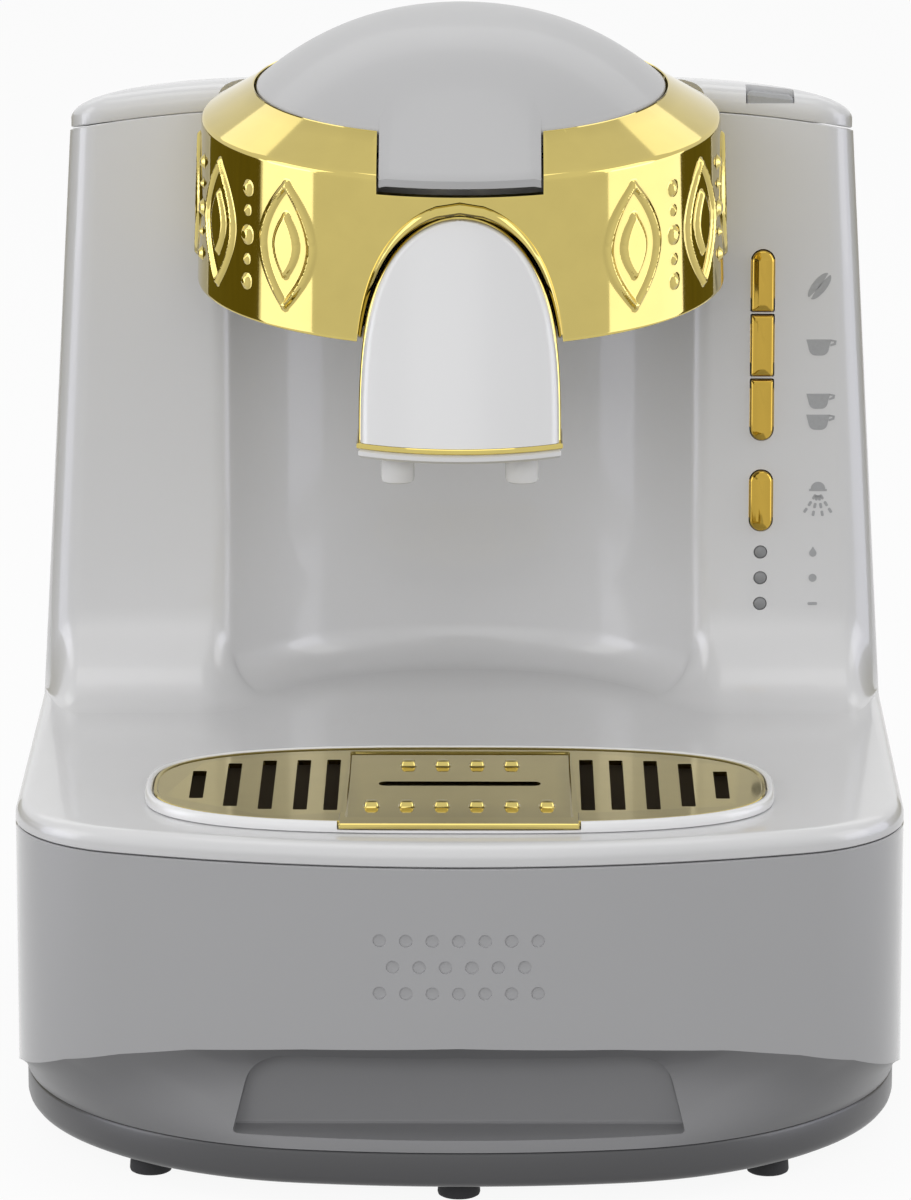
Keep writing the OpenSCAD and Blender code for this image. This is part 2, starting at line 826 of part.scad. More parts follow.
module spout_cover() {
    color("white") difference() {
        spout_block(0.6, 0, spout_z, 0.6);
        spout_front_round(spout_round_r - 3 + eps);
    }
}

module spout_slab(z, t, grow) {
    intersection() {
        spout_front_round(spout_round_r + grow);
        translate([-spout_w / 2 - grow, spout_back - 60, z])
            cube([spout_w + 2 * grow, 60, t]);
    }
}

module spout_trim() {
    color("gold") difference() {
        spout_slab(spout_z - trim_t, trim_t, 0.5);
        translate([-spout_w / 2 + 3, spout_front + 8, spout_z - 5]) cube([spout_w - 6, 17, 10]);
    }
}

module spout_base() {
    color("white") difference() {
        spout_slab(spout_z - trim_t - 2.5, 2.5, 0);
        for (s = [-1, 1]) translate([s * nozzle_pitch / 2, nozzle_y, spout_z - 10])
            cylinder(h = 20, r = nozzle_r + run_fit);
    }
}

module spout_manifold() {
    color("gray") difference() {
        translate([-nozzle_pitch / 2 - 3.4, nozzle_y - 3.6, spout_z + 4.3])
            cube([nozzle_pitch + 6.8, 9, 8.2]);
        translate([0, pipe_y, spout_z + 8]) cylinder(h = 6, r = 2.2);
        translate([0, nozzle_y + 1, spout_z + 8]) cube([nozzle_pitch + 2, 4.4, 4], center = true);
        for (s = [-1, 1]) translate([s * nozzle_pitch / 2, nozzle_y, spout_z + 3])
            cylinder(h = 5, r = 2);
    }
}

module nozzles() {
    color("white") for (s = [-1, 1]) translate([s * nozzle_pitch / 2, nozzle_y,
        spout_z - nozzle_tip]) ring(nozzle_r, 2.4, nozzle_tip + 4);
}

// ---- drip tray -------------------------------------------------------------

lip_w = 62;

module drip_tray() {
    color("white") difference() {
        union() {
            translate([0, 0, deck_z]) linear_extrude(rim_h) lens(0);
            translate([0, 0, deck_z - tray_depth]) linear_extrude(tray_depth + 1) lens(rim_t + slip);
        }
        translate([0, 0, deck_z - tray_depth + 2]) linear_extrude(60) lens(rim_t + slip + 2);
        translate([0, 0, deck_z + rim_h - grille_t - 0.4]) linear_extrude(10) lens(rim_t - 0.6);
        translate([-lip_w / 2, tray_y - tray_d / 2 - 5, deck_z + rim_h - grille_t - 0.4])
            cube([lip_w, 12, 20]);
    }
}

slot_pitch = 9;
slot_halves = [26, 25.5, 25, 22, 14];
slot_xs = [for (s = [-1, 1]) for (i = [0:4]) [s * (31.8 + i * slot_pitch), slot_halves[i]]];

module drip_grille() {
    top = deck_z + rim_h - 0.2;
    color("darkgoldenrod") difference() {
        union() {
            translate([0, 0, top - grille_t]) linear_extrude(grille_t) lens(rim_t - 0.3);
            translate([-lip_w / 2 + slip, tray_y - tray_d / 2 + 0.4, top - grille_t])
                cube([lip_w - 2 * slip, 12, grille_t]);
            for (r = [[6, -21.5], [4, 20.5]]) for (i = [0:r[0] - 1])
                translate([(i - (r[0] - 1) / 2) * slot_pitch - 1.6, tray_y + r[1], top - 0.4])
                    cube([3.2, 3.2, 1.2]);
        }
        for (p = slot_xs) translate([p[0] - 1.8, tray_y - p[1], top - 5]) cube([3.6, 2 * p[1], 10]);
        translate([-21, tray_y + 0.8, top - 5]) cube([42, 4.5, 10]);
    }
}

// ---- water tank ------------------------------------------------------------

seat_foot_z = seam_z - 18;
valve_r = 8.5;

module tank_seat() {
    color("dimgray") translate([seat_x, seat_y, 0]) difference() {
        union() {
            translate([0, 0, seam_z - 10]) cylinder(h = 10 + chassis_t, r = seat_hole_r - slip);
            translate([0, 0, chassis_top]) cylinder(h = 2, r = seat_hole_r + 4);
            translate([0, 0, seat_foot_z]) cylinder(h = 12, r = hose_r);
        }
        translate([0, 0, seam_z - 6]) cylinder(h = 20, r = seat_bore_r);
        translate([0, 0, seat_foot_z - 1]) cylinder(h = 16, r = 1.5);
    }
}

module seat_seal() {
    color("black") translate([seat_x, seat_y, seam_z - 6 + 0.1]) ring(seat_bore_r - eps, 6, 1.8);
}

module water_tank() {
    half = tank_w / 2;
    d = tank_y1 - tank_y0;
    color("lightblue") difference() {
        union() {
            translate([-half, tank_y0, tank_z]) cube([tank_w, d, tank_top - tank_z]);
            for (s = [-1, 1]) for (y = [tank_y0 + 8, tank_y1 - 8])
                translate([s * (half - 10), y, chassis_top]) cylinder(h = 6, r = 5);
            for (s = [-1, 1]) tank_ear(s);
        }
        translate([-half + 2, tank_y0 + 2, tank_z + 2]) cube([tank_w - 4, d - 4, tank_top]);
        translate([seat_x, seat_y, tank_z - 1]) cylinder(h = 4, r = valve_r + run_fit);
        tank_pin_bore();
    }
}

module tank_ear(s) {
    translate([s * tank_ear_x - tank_ear_t / 2, 0, 0]) rotate([90, 0, 90])
        linear_extrude(tank_ear_t) {
            translate([tank_axis_y, tank_axis_z]) circle(tank_round - 0.4);
            polygon([[tank_y1 - 2, tank_top - 12], [tank_y1, tank_top - 12],
                [rear_y - wall - 0.6, rear_top + 0.2], [tank_axis_y + tank_round - 0.4, tank_axis_z], [tank_axis_y - 3.6, tank_axis_z],
                [tank_y1 - 2, tank_top - 1]]);
        }
}

module tank_pin_bore() {
    translate([0, tank_axis_y, tank_axis_z]) rotate([0, 90, 0])
        cylinder(h = 3 * tank_ear_x, r = pin_r + run_fit, center = true);
}

module tank_valve() {
    color("gray") translate([seat_x, seat_y, 0]) difference() {
        union() {
            translate([0, 0, seam_z - 1.5]) cylinder(h = tank_z + 2 - seam_z + 1.5, r = valve_r);
            translate([0, 0, tank_z + 2]) cylinder(h = 2, r = valve_r + 3);
        }
        translate([0, 0, seam_z - 3]) cylinder(h = 30, r = 4);
    }
}

module valve_poppet() {
    color("orangered") translate([seat_x, seat_y, 0]) {
        translate([0, 0, seam_z - 1]) cylinder(h = tank_z + 6 - seam_z, r = 3);
        translate([0, 0, tank_z + 4.3]) cylinder(h = 2, r = 6);
    }
}

module tank_hinge_pin() {
    color("silver") translate([0, tank_axis_y, tank_axis_z]) rotate([0, 90, 0])
        cylinder(h = 2 * tank_ear_x + 26, r = pin_r, center = true);
}

lid_z0 = tower_top + 0.3;
tab_x = 83;
tab_w = 13;

module tank_lid() {
    half = tower_top_w / 2;
    color("whitesmoke") difference() {
        leaned_back() lid_shell(half);
        behind_tank_axis();
        niche_solid(niche_r + 1.2, 0, 500);
        for (s = [-1, 1]) translate([s * tank_ear_x - tank_ear_t / 2 - slip, tank_axis_y - 6, 0])
            cube([tank_ear_t + 2 * slip, 30, 500]);
        tank_pin_bore();
        leaned_back() translate([tab_x - tab_w / 2, wall_y - 1, tower_top + 2]) cube([tab_w, 9, 20]);
        leaned_back() translate([0, 0, tower_top - 1]) linear_extrude(tank_lid_h - 1) intersection() {
            difference() {
                tower_plan(half, 10);
                translate([0, niche_y]) circle(niche_r + 4);
                translate([tab_x - tab_w / 2 - 2, wall_y - 1]) square([tab_w + 4, 12]);
            }
            translate([-half, 0]) square([2 * half, tank_axis_y - 8]);
        }
    }
}

module lid_shell(half) {
    hull() {
        translate([0, 0, lid_z0]) linear_extrude(3) tower_plan(half, 0, $fn = 40);
        translate([0, 0, lid_z0 + 5.5]) linear_extrude(eps) tower_plan(half, 1.6, $fn = 40);
        translate([0, 0, tower_top + tank_lid_h - eps]) linear_extrude(eps) tower_plan(half, 6, $fn = 40);
    }
}

// All behind the tank lid's axis, outside the round that lets it swing
module behind_tank_axis() {
    translate([-body_w, tank_axis_y, tank_axis_z - 20]) difference() {
        cube([2 * body_w, 20, 40]);
        translate([-1, 0, 20]) rotate([0, 90, 0]) cylinder(h = 2 * body_w + 2, r = tank_round);
    }
}

module tank_lid_tab() {
    color("gray") leaned_back() translate([tab_x - tab_w / 2 + 0.1, wall_y + 0.4, tower_top + 2.1])
        cube([tab_w - 0.2, 7.4, tank_lid_h - 4]);
}

// ---- what is drawn ---------------------------------------------------------

base_shell();
bottom_pan();
feet();
pan_screws();
front_housing();
rear_cover();
cover_screws();
chassis_plate();
head_base();
head_ring();
brew_pot();
pot_heater();
thermostat();
coffee_pipe();
spout_body();
spout_cover();
spout_trim();
spout_base();
spout_manifold();
nozzles();
button_board();
tact_switches();
indicator_lights();
panel_icons();
water_pump();
pump_damper();
inlet_hose();
outlet_hose();
power_board();
buzzer();
cord_gland();
tank_seat();
seat_seal();
lid_hinge_pin();
lid_dome();
lid_liner();
lid_seal();
foam_sensor();
drip_tray();
drip_grille();
water_tank();
tank_valve();
tank_hinge_pin();
valve_poppet();
tank_lid();
tank_lid_tab();
button_slow_brew();
button_one_cup();
button_two_cups();
button_clean();
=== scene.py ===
"""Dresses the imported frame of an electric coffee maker: smooth mouldings, plated trim, finishes."""

import math

import bmesh
import bpy
import numpy as np
from bpy.props import (
    BoolProperty,
    FloatProperty,
    FloatVectorProperty,
    IntProperty,
    PointerProperty,
)
from mathutils import Matrix, Vector


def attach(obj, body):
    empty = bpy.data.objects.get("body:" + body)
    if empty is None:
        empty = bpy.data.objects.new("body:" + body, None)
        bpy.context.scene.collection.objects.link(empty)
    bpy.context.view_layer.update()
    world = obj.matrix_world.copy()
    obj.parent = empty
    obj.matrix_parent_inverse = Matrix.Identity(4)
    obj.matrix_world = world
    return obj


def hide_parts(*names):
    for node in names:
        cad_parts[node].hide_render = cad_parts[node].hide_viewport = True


bl_info = {
    "name": "Electric Coffee Maker",
    "version": (1, 0, 0),
    "blender": (4, 5, 0),
    "location": "3D View > Sidebar > Coffee Maker",
    "description": "Builds the mouldings, plated trim and finishes of an electric coffee maker",
    "category": "Add Mesh",
}

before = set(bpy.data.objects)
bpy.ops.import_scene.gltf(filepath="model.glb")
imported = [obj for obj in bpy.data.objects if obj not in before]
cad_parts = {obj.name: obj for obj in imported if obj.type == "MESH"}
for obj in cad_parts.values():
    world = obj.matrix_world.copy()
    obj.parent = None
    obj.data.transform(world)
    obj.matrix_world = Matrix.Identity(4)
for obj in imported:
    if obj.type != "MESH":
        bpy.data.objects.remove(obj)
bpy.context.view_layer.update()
MM = 0.001

# Plan, heights and corner radii of the body in millimetres, as the solids have them
FRONT_Y, REAR_Y, WALL_Y, SPLIT_Y = -132.5, 132.5, 30.0, 98.0
HALF_WIDTH, TOWER_TOP_HALF = 115.0, 105.5
BOW_RADIUS, SHELL_CORNER, REAR_CORNER, WALL_CORNER = 276.0, 38, 32, 10
PAN_TOP, SEAM_Z, DECK_Z, TOWER_TOP, TOP_FALL = 15.0, 90.0, 96.0, 257.0, 16.0
WALL = 2.5
NICHE_Y, NICHE_R = -4.8, 73.0
HEAD_Y, HEAD_Z, HEAD_TILT = -2.0, 218.0, math.radians(5)
RING_R, RING_TOP_R, RING_H, BEVEL_H, LID_R = 70.0, 68.5, 44.0, 8.5, 54.5
DOME_H, TONGUE_HALF = 19.5, 21.0
HINGE = (58, 50)
SPOUT_Z, SPOUT_H, SPOUT_HALF = 189.0, 57.0, 26.0
SPOUT_FRONT, SPOUT_BACK, SPOUT_ROUND = -89.0, -62.0, 46.0
SPOUT_LEAN = math.atan((SPOUT_BACK - 12 - SPOUT_FRONT) / SPOUT_H)
TRAY_Y, TRAY_HALF_W, TRAY_HALF_D = -80.5, 81.5, 41.0
BUTTON_X, ICON_X = 81.5, 97.0
BUTTON_ZS = (210.65, 192.85, 175.05, 149.85)
LIGHT_ZS = (135.45, 128.25, 121.05)

# Where the dressed forms depart a little from the solids: the corners of the pan's plan, and how
# full the tray's oval and the lid's dome are
PAN_CORNER, OVAL_POWER, DOME_POWER = 86.0, 0.7, 2.4

# Upper edge of the base's undercut: its height across the front, then back along the sides
UNDERCUT_XS = (0, 40, 68.7, 87.4, 101.4, 113.7)
UNDERCUT_FRONT = (42.6, 41.6, 39.8, 36.9, 33.4, 27.5)
UNDERCUT_YS, UNDERCUT_SIDE = (-91, -70, -45, -20), (27.5, 21.5, 16.6, 15.6)

# name, place, aimed at, width, height in mm, watts, colour, seen in gloss, lights matt surfaces
SOFTBOXES = (
    ("softbox_left", (-1480, -330, 620), (0, 0, 250), 760, 1500, 5.6, "FFFFFF", True, True),
    ("softbox_right", (1480, -330, 620), (0, 0, 250), 760, 1500, 5.2, "FFFFFF", True, True),
    ("strip_left", (-600, -128, 170), (0, -128, 170), 310, 340, 0.5, "E6E8FF", True, False),
    ("strip_right", (600, -40, 170), (0, -40, 170), 480, 340, 0.75, "E6E8FF", True, False),
    ("softbox_rear", (0, 1300, 1500), (0, 0, 250), 3000, 700, 5.5, "FFFFFF", True, True),
    ("softbox_front", (-250, -1500, 560), (0, 0, 150), 1300, 600, 9.0, "FFFFFF", False, True),
    ("softbox_top", (0, -200, 1900), (0, 0, 150), 1300, 900, 3.5, "FFFFFF", True, True),
)
# name, place, aimed at, width, height in mm, colour
DARK_CARDS = (
    ("card_left", (-600, 790, 130), (0, 790, 130), 1500, 280, "6E6424"),
    ("card_right", (600, 950, 130), (0, 950, 130), 1500, 280, "6E6424"),
)
AMBIENT, FLOOR_GLOW, FLOOR_SIZE = 0.55, 0.92, 8000
CAMERA_PLACE, CAMERA_DOWN, CAMERA_TURN, LENS = (7.9, -1911, 572.5), 0.2281, 0.0049, 218.9


def linear_rgb(hex_code):
    """A colour written as sRGB hex, as linear RGBA."""
    parts = [int(hex_code[i : i + 2], 16) / 255 for i in (0, 2, 4)]
    linear = [c / 12.92 if c <= 0.04045 else ((c + 0.055) / 1.055) ** 2.4 for c in parts]
    return (*linear, 1.0)


def size_mm(name, text, default, low, high):
    """A length property, given in millimetres and stored in metres."""
    limits = {"default": default * MM, "min": low * MM, "max": high * MM}
    return FloatProperty(name=name, description=text, unit="LENGTH", precision=5, **limits)


def colour(name, text, hex_code):
    """A colour property that starts from a hex value."""
    tone = linear_rgb(hex_code)
    return FloatVectorProperty(
        name=name, description=text, subtype="COLOR", size=4, min=0, max=1, default=tone
    )


# ---- settings ----


class CoffeeMakerBodySizes(bpy.types.PropertyGroup):
    """Sizes of the moulded body that a user would change."""

    deck_edge: size_mm("Deck edge", "Radius of the deck's rounded rim", 4, 2, 5.5)
    blend: size_mm("Deck blend", "Radius where the deck sweeps up into the tower", 24, 10, 28)
    niche_rim: size_mm("Niche rim", "Radius of the rounded edges beside the niche", 7, 2, 9)
    cove: size_mm("Undercut cove", "How far the undercut hollows in above the pan", 7, 0, 8)
    seam: size_mm("Seam gap", "Width of the shadow gaps between mouldings", 0.3, 0.2, 1)
    dimple: size_mm("Dimple radius", "Radius of one dimple of the sounder field", 1.7, 1, 2.2)


class CoffeeMakerTrimSizes(bpy.types.PropertyGroup):
    """Sizes of the plated trim."""

    relief: size_mm("Relief height", "Height of the raised pattern on the band", 1.1, 0.2, 1.4)
    pitch: IntProperty(
        name="Leaf pitch",
        description="Degrees from one leaf to the next",
        default=25,
        min=20,
        max=40,
    )
    slot_half: size_mm("Slot half width", "Half the width of a grille slot", 1.8, 1, 2.5)
    button_crown: size_mm("Button crown", "How far a button's face swells", 0.5, 0, 0.8)
    engraved: BoolProperty(
        name="Band pattern", description="Raise the leaf pattern on the band", default=True
    )


class CoffeeMakerColours(bpy.types.PropertyGroup):
    """Colours of the finishes."""

    shell: colour("Shell", "Glossy white moulding of deck and tower", "D0D0D1")
    base: colour("Base", "Grey moulding of the base shell", "A4A4A6")
    # The undercut's darker grey is painted shade: the undercut is the same grey plastic as the shell
    # above it
    lower: colour("Undercut", "Satin lower zone of the base shell", "7E7E80")
    # The basin's dark brown is painted shade under the grille
    basin: colour("Basin", "Dark inside of the drip tray", "5E5444")
    pan: colour("Pan", "Darker grey moulding of the bottom pan", "464648")
    lid: colour("Lid", "Pale grey moulding of the lid", "B2B2B3")
    spout: colour("Spout", "White moulding of the spout and tray", "E0E0E1")
    gold: colour("Gold", "Pale gold plating", "CDBB70")
    tab: colour("Tab", "Grey of the tank lid's tab and the printed marks", "A2A3A5")
    button: colour("Buttons", "Deeper gold plating of the buttons", "BD9D45")
    floor: colour("Floor", "Pale floor and backdrop", "FFFFFF")


# ---- outlines ----


def unit(angle):
    """The direction of an angle in degrees."""
    return math.cos(math.radians(angle)), math.sin(math.radians(angle))


def arc(centre, radius, start, end, steps):
    """Points of an arc, both ends included, with angles in degrees."""
    turns = [unit(start + (end - start) * i / steps) for i in range(steps + 1)]
    return [(centre[0] + radius * c, centre[1] + radius * s) for c, s in turns]


def disc(centre, radius, steps=32):
    """Outline of a full circle."""
    return arc(centre, radius, 0, 360, steps)[:-1]


def rounded_box(width, height, radius, steps=8, centre=(0, 0), foot=None):
    """Outline of a rectangle with rounded corners. The lower two may have their own radius."""
    low = radius if foot is None else foot
    points = []
    for sx, sy, start, r in (
        (1, 1, 0, radius),
        (-1, 1, 90, radius),
        (-1, -1, 180, low),
        (1, -1, 270, low),
    ):
        corner = (centre[0] + sx * (width / 2 - r), centre[1] + sy * (height / 2 - r))
        points += arc(corner, r, start, start + 90, steps)
    return points


def line(a, b, steps):
    """Points from a to b, without a itself."""
    (ax, ay), (bx, by) = a, b
    counts = range(1, steps + 1)
    return [(ax + (bx - ax) * i / steps, ay + (by - ay) * i / steps) for i in counts]


def mirrored(half):
    """A closed outline from its right half, which starts and ends on the middle line."""
    return half + [(-x, y) for x, y in reversed(half[1:-1])]


def spaced(number, pitch):
    """Places in a row that is centred on the middle line."""
    return [(i - (number - 1) / 2) * pitch for i in range(number)]


def at(outline, z):
    """An outline lifted to a height."""
    return [(x, y, z) for x, y in outline]


def stepped(outline, levels):
    """Rings of an outline that takes an inset, one for each (inset, height) pair."""
    return [at(outline(inset), z) for inset, z in levels]


# ---- mesh helpers ----


def mesh_object(name, points, faces):
    """An object from points in millimetres, with its faces turned outwards."""
    mesh = bpy.data.meshes.new(name)
    mesh.from_pydata([tuple(float(c) * MM for c in p) for p in points], [], faces)
    piece = bpy.data.objects.new(name, mesh)
    bpy.context.scene.collection.objects.link(piece)
    work = bmesh.new()
    work.from_mesh(mesh)
    bmesh.ops.remove_doubles(work, verts=work.verts, dist=1e-6)
    bmesh.ops.recalc_face_normals(work, faces=work.faces)
    work.to_mesh(mesh)
    work.free()
    return piece


def ring_faces(count, rings, closed=True):
    """Quads between neighbouring rings that all have the same number of points."""
    pairs = [(i, (i + 1) % count) for i in range(count if closed else count - 1)]
    return [
        (k * count + i, k * count + j, (k + 1) * count + j, (k + 1) * count + i)
        for k in range(rings - 1)
        for i, j in pairs
    ]


def lofted(name, rings, caps=True, closed=True):
    """A skin over rings of points; caps close its two ends."""
    count, last = len(rings[0]), len(rings) - 1
    faces = ring_faces(count, len(rings), closed)
    if caps:
        faces += [tuple(range(count)), tuple(range(last * count, (last + 1) * count))]
    return mesh_object(name, [p for ring in rings for p in ring], faces)


def sheet(name, wide, high):
    """A level rectangle about the origin."""
    rows = [[(-wide / 2, s * high / 2, 0), (wide / 2, s * high / 2, 0)] for s in (-1, 1)]
    return lofted(name, rows, caps=False, closed=False)


def turned(name, profile, steps=128, centre=(0, 0), loop=False):
    """A lathe form from (radius, height) pairs. A loop joins the profile's ends, else they end on
    the axis."""
    angles = [2 * math.pi * i / steps for i in range(steps)]
    circle = [(math.cos(t), math.sin(t)) for t in angles]
    rings = [
        [(centre[0] + r * c, centre[1] + r * s, z) for c, s in circle]
        for r, z in (profile + profile[:1] if loop else profile)
    ]
    return lofted(name, rings, caps=False)


def prism(name, outline, low, high, axis="Z"):
    """A straight prism over an outline of two coordinates along the third axis."""
    place = {
        "Z": lambda a, b, c: (a, b, c),
        "Y": lambda a, b, c: (a, c, b),
        "X": lambda a, b, c: (c, a, b),
    }[axis]
    return lofted(name, [[place(a, b, c) for a, b in outline] for c in (low, high)])


def prisms(name, outlines, low, high, axis="Z"):
    """Straight prisms over several outlines, as one object."""
    return merged(name, *[prism(name, outline, low, high, axis) for outline in outlines])


def merged(name, *pieces):
    """Joins finished forms into one object."""
    work = bmesh.new()
    for piece in pieces:
        work.from_mesh(piece.data)
        bpy.data.objects.remove(piece)
    mesh = bpy.data.meshes.new(name)
    work.to_mesh(mesh)
    work.free()
    piece = bpy.data.objects.new(name, mesh)
    bpy.context.scene.collection.objects.link(piece)
    return piece


def settle(piece):
    """Applies a piece's modifiers to its mesh."""
    bpy.context.view_layer.update()
    shown = piece.evaluated_get(bpy.context.evaluated_depsgraph_get())
    mesh = bpy.data.meshes.new_from_object(shown)
    piece.modifiers.clear()
    piece.data = mesh
    return piece


def carve(piece, cutter, operation="DIFFERENCE"):
    """Cuts one form out of another, or joins them, and keeps the result as plain mesh."""
    step = piece.modifiers.new("carve", "BOOLEAN")
    step.operation, step.solver, step.object = operation, "EXACT", cutter
    settle(piece)
    bpy.data.objects.remove(cutter)
    return piece


def thickened(piece, even=False):
    """Gives an open skin the thickness of a moulded wall, kept even round sharp turns if asked."""
    step = piece.modifiers.new("thickness", "SOLIDIFY")
    step.thickness, step.offset, step.use_even_offset = WALL * MM, -1, even
    return settle(piece)


def soften(piece, width, segments=3, angle=60):
    """Rounds the sharp edges by a width in millimetres."""
    step = piece.modifiers.new("soften", "BEVEL")
    step.width, step.segments, step.limit_method = width * MM, segments, "ANGLE"
    step.angle_limit, step.use_clamp_overlap = math.radians(angle), True
    return settle(piece)


def finished(piece, body, material, stands_for=(), sharp=32):
    """Gives a piece its finish, its body and the solids that it stands for."""
    piece.data.materials.clear()
    piece.data.materials.append(material)
    piece.data.shade_smooth()
    piece.data.set_sharp_from_angle(angle=math.radians(sharp))
    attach(piece, body)
    if stands_for:
        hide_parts(*stands_for)
    return piece


def second_finish(piece, material, chosen):
    """Gives the faces that pass a test a second finish."""
    piece.data.materials.append(material)
    for face in piece.data.polygons:
        if chosen(face):
            face.material_index = 1


# ---- shared plans ----


def bow_y(x, radius=BOW_RADIUS):
    """Where an arc about the bowed front's centre lies at a distance from the middle line."""
    return FRONT_Y + BOW_RADIUS - math.sqrt(radius**2 - x**2)


def bowed_half(inset, corner):
    """Right half of the base's plan, from the front's middle to the back's middle."""
    half, bow, cr, rr = HALF_WIDTH - inset, BOW_RADIUS - inset, corner - inset, REAR_CORNER - inset
    cx = half - cr
    cy = bow_y(cx, bow - cr)
    swing = math.degrees(math.asin(cx / (bow - cr)))
    back = REAR_Y - inset - rr
    return (
        arc((0, FRONT_Y + BOW_RADIUS), bow, 270, 270 + swing, 40)
        + arc((cx, cy), cr, 270 + swing, 360, 30)[1:]
        + line((half, cy), (half, back), 24)
        + arc((half - rr, back), rr, 0, 90, 16)[1:]
        + line((half - rr, REAR_Y - inset), (0, REAR_Y - inset), 4)
    )


def bowed(inset, corner=SHELL_CORNER):
    """The base's whole plan."""
    return mirrored(bowed_half(inset, corner))


def oval(inset, steps=60):
    """The drip tray's outline, fuller than an ellipse."""
    a, b = TRAY_HALF_W - inset, TRAY_HALF_D - inset
    points = []
    for i in range(steps + 1):
        c, s = unit(-90 + 180 * i / steps)
        y = TRAY_Y + b * math.copysign(abs(s) ** OVAL_POWER, s)
        points.append((a * abs(c) ** OVAL_POWER if 0 < i < steps else 0, y))
    return mirrored(points)


def in_head(piece):
    """Moves a form from the brewing head's own frame to its place."""
    place = Matrix.Translation((0, HEAD_Y * MM, HEAD_Z * MM))
    piece.data.transform(place @ Matrix.Rotation(HEAD_TILT, 4, "X"))
    return piece


def tower_half(z):
    """Half the tower's width at a height."""
    return HALF_WIDTH - (HALF_WIDTH - TOWER_TOP_HALF) / (TOWER_TOP - SEAM_Z) * (z - SEAM_Z)


def top_at(y, x=0.0):
    """Height of the tower's top seam, which falls to the back and, like a crown, to the sides."""
    crown = 5.0 * max(0.0, (abs(x) - 55) / 50) ** 1.8
    return TOWER_TOP - crown - TOP_FALL * max(0.0, y - WALL_Y) / (REAR_Y - WALL_Y)


def falling(ring):
    """A level ring leaned back with the tower's top."""
    return [
        (x * tower_half(top_at(y)) / TOWER_TOP_HALF, y, z - TOWER_TOP + top_at(y, x))
        for x, y, z in ring
    ]


# ---- finishes ----


def add_node(tree, kind, sockets=None, **settings):
    """Adds a node with its settings. Its sockets take values, or links from a node or socket."""
    node = tree.nodes.new(kind)
    for name, value in settings.items():
        setattr(node, name, value)
    for name, value in (sockets or {}).items():
        socket = next(s for s in node.inputs if s.name == name and s.enabled)
        if isinstance(value, bpy.types.Node):
            value = next(s for s in value.outputs if s.enabled)
        if isinstance(value, bpy.types.NodeSocket):
            tree.links.new(value, socket)
        else:
            socket.default_value = value
    return node


def blank_material(name):
    """An empty material, its tree, and the object's own coordinates in metres."""
    material = bpy.data.materials.new(name)
    material.use_nodes = True
    tree = material.node_tree
    tree.nodes.clear()
    return material, tree, add_node(tree, "ShaderNodeTexCoord").outputs["Object"]


def noise(tree, place, size, detail):
    """Noise with features of a size in millimetres."""
    sockets = {"Vector": place, "Scale": 1 / (size * MM), "Detail": detail}
    return add_node(tree, "ShaderNodeTexNoise", sockets)


def shade_of(rgba, factor):
    """A colour made lighter or darker by a factor."""
    return tuple(min(1, c * factor) for c in rgba[:3]) + (1.0,)


def drifting(tree, value, rgba, low, high):
    """A colour that a node's value moves between two factors of itself."""
    sockets = {"Factor": value, "A": shade_of(rgba, low), "B": shade_of(rgba, high)}
    return add_node(tree, "ShaderNodeMix", sockets, data_type="RGBA")


def spread(tree, value, low, high, start=0.0, end=1.0):
    """A node's value, moved from the range start to end to the range low to high."""
    sockets = {"Value": value, "From Min": start, "From Max": end, "To Min": low, "To Max": high}
    return add_node(tree, "ShaderNodeMapRange", sockets)


def bump(tree, height, strength, distance):
    """Fine relief, with its depth in millimetres."""
    sockets = {"Height": height, "Strength": strength, "Distance": distance * MM}
    return add_node(tree, "ShaderNodeBump", sockets)


def surfaced(material, surface):
    """Links a surface to its material's output."""
    add_node(material.node_tree, "ShaderNodeOutputMaterial", {"Surface": surface})
    return material


def shaded(material, sockets):
    """Closes a material with its one shader."""
    return surfaced(material, add_node(material.node_tree, "ShaderNodeBsdfPrincipled", sockets))


def moulded_abs(name, rgba, gloss, coat=0.35):
    """Injection-moulded ABS from a polished tool: an even colour that drifts by a percent or two
    over a hand's width, a soft broad highlight, and a faint orange peel, 1.5 mm across, drawn as
    coarse as it needs to show."""
    material, tree, place = blank_material(name)
    sockets = {
        "Base Color": drifting(tree, noise(tree, place, 60, 2.0), rgba, 0.975, 1.02),
        "Roughness": spread(tree, noise(tree, place, 14, 4.0), gloss - 0.03, gloss + 0.05),
        "Normal": bump(tree, noise(tree, place, 1.5, 1.0), 0.04, 0.1),
        "IOR": 1.53,
        "Coat Weight": coat,
        "Coat Roughness": 0.06,
    }
    return shaded(material, sockets)


def lamp_lens(name, rgba, gloss):
    """Smoked lens of a lamp that is off, darker than the marks beside it."""
    return moulded_abs(name, shade_of(rgba, 0.6), gloss)


def textured_abs(name, rgba):
    """ABS from a spark-eroded tool: matt, with an even grain of 0.4 mm, drawn at 0.8 mm so that it
    shows."""
    material, tree, place = blank_material(name)
    grain = noise(tree, place, 0.8, 3.0)
    sockets = {
        "Base Color": drifting(tree, grain, rgba, 0.9, 1.08),
        "Roughness": 0.58,
        "Normal": bump(tree, grain, 0.35, 0.2),
        "IOR": 1.53,
    }
    return shaded(material, sockets)


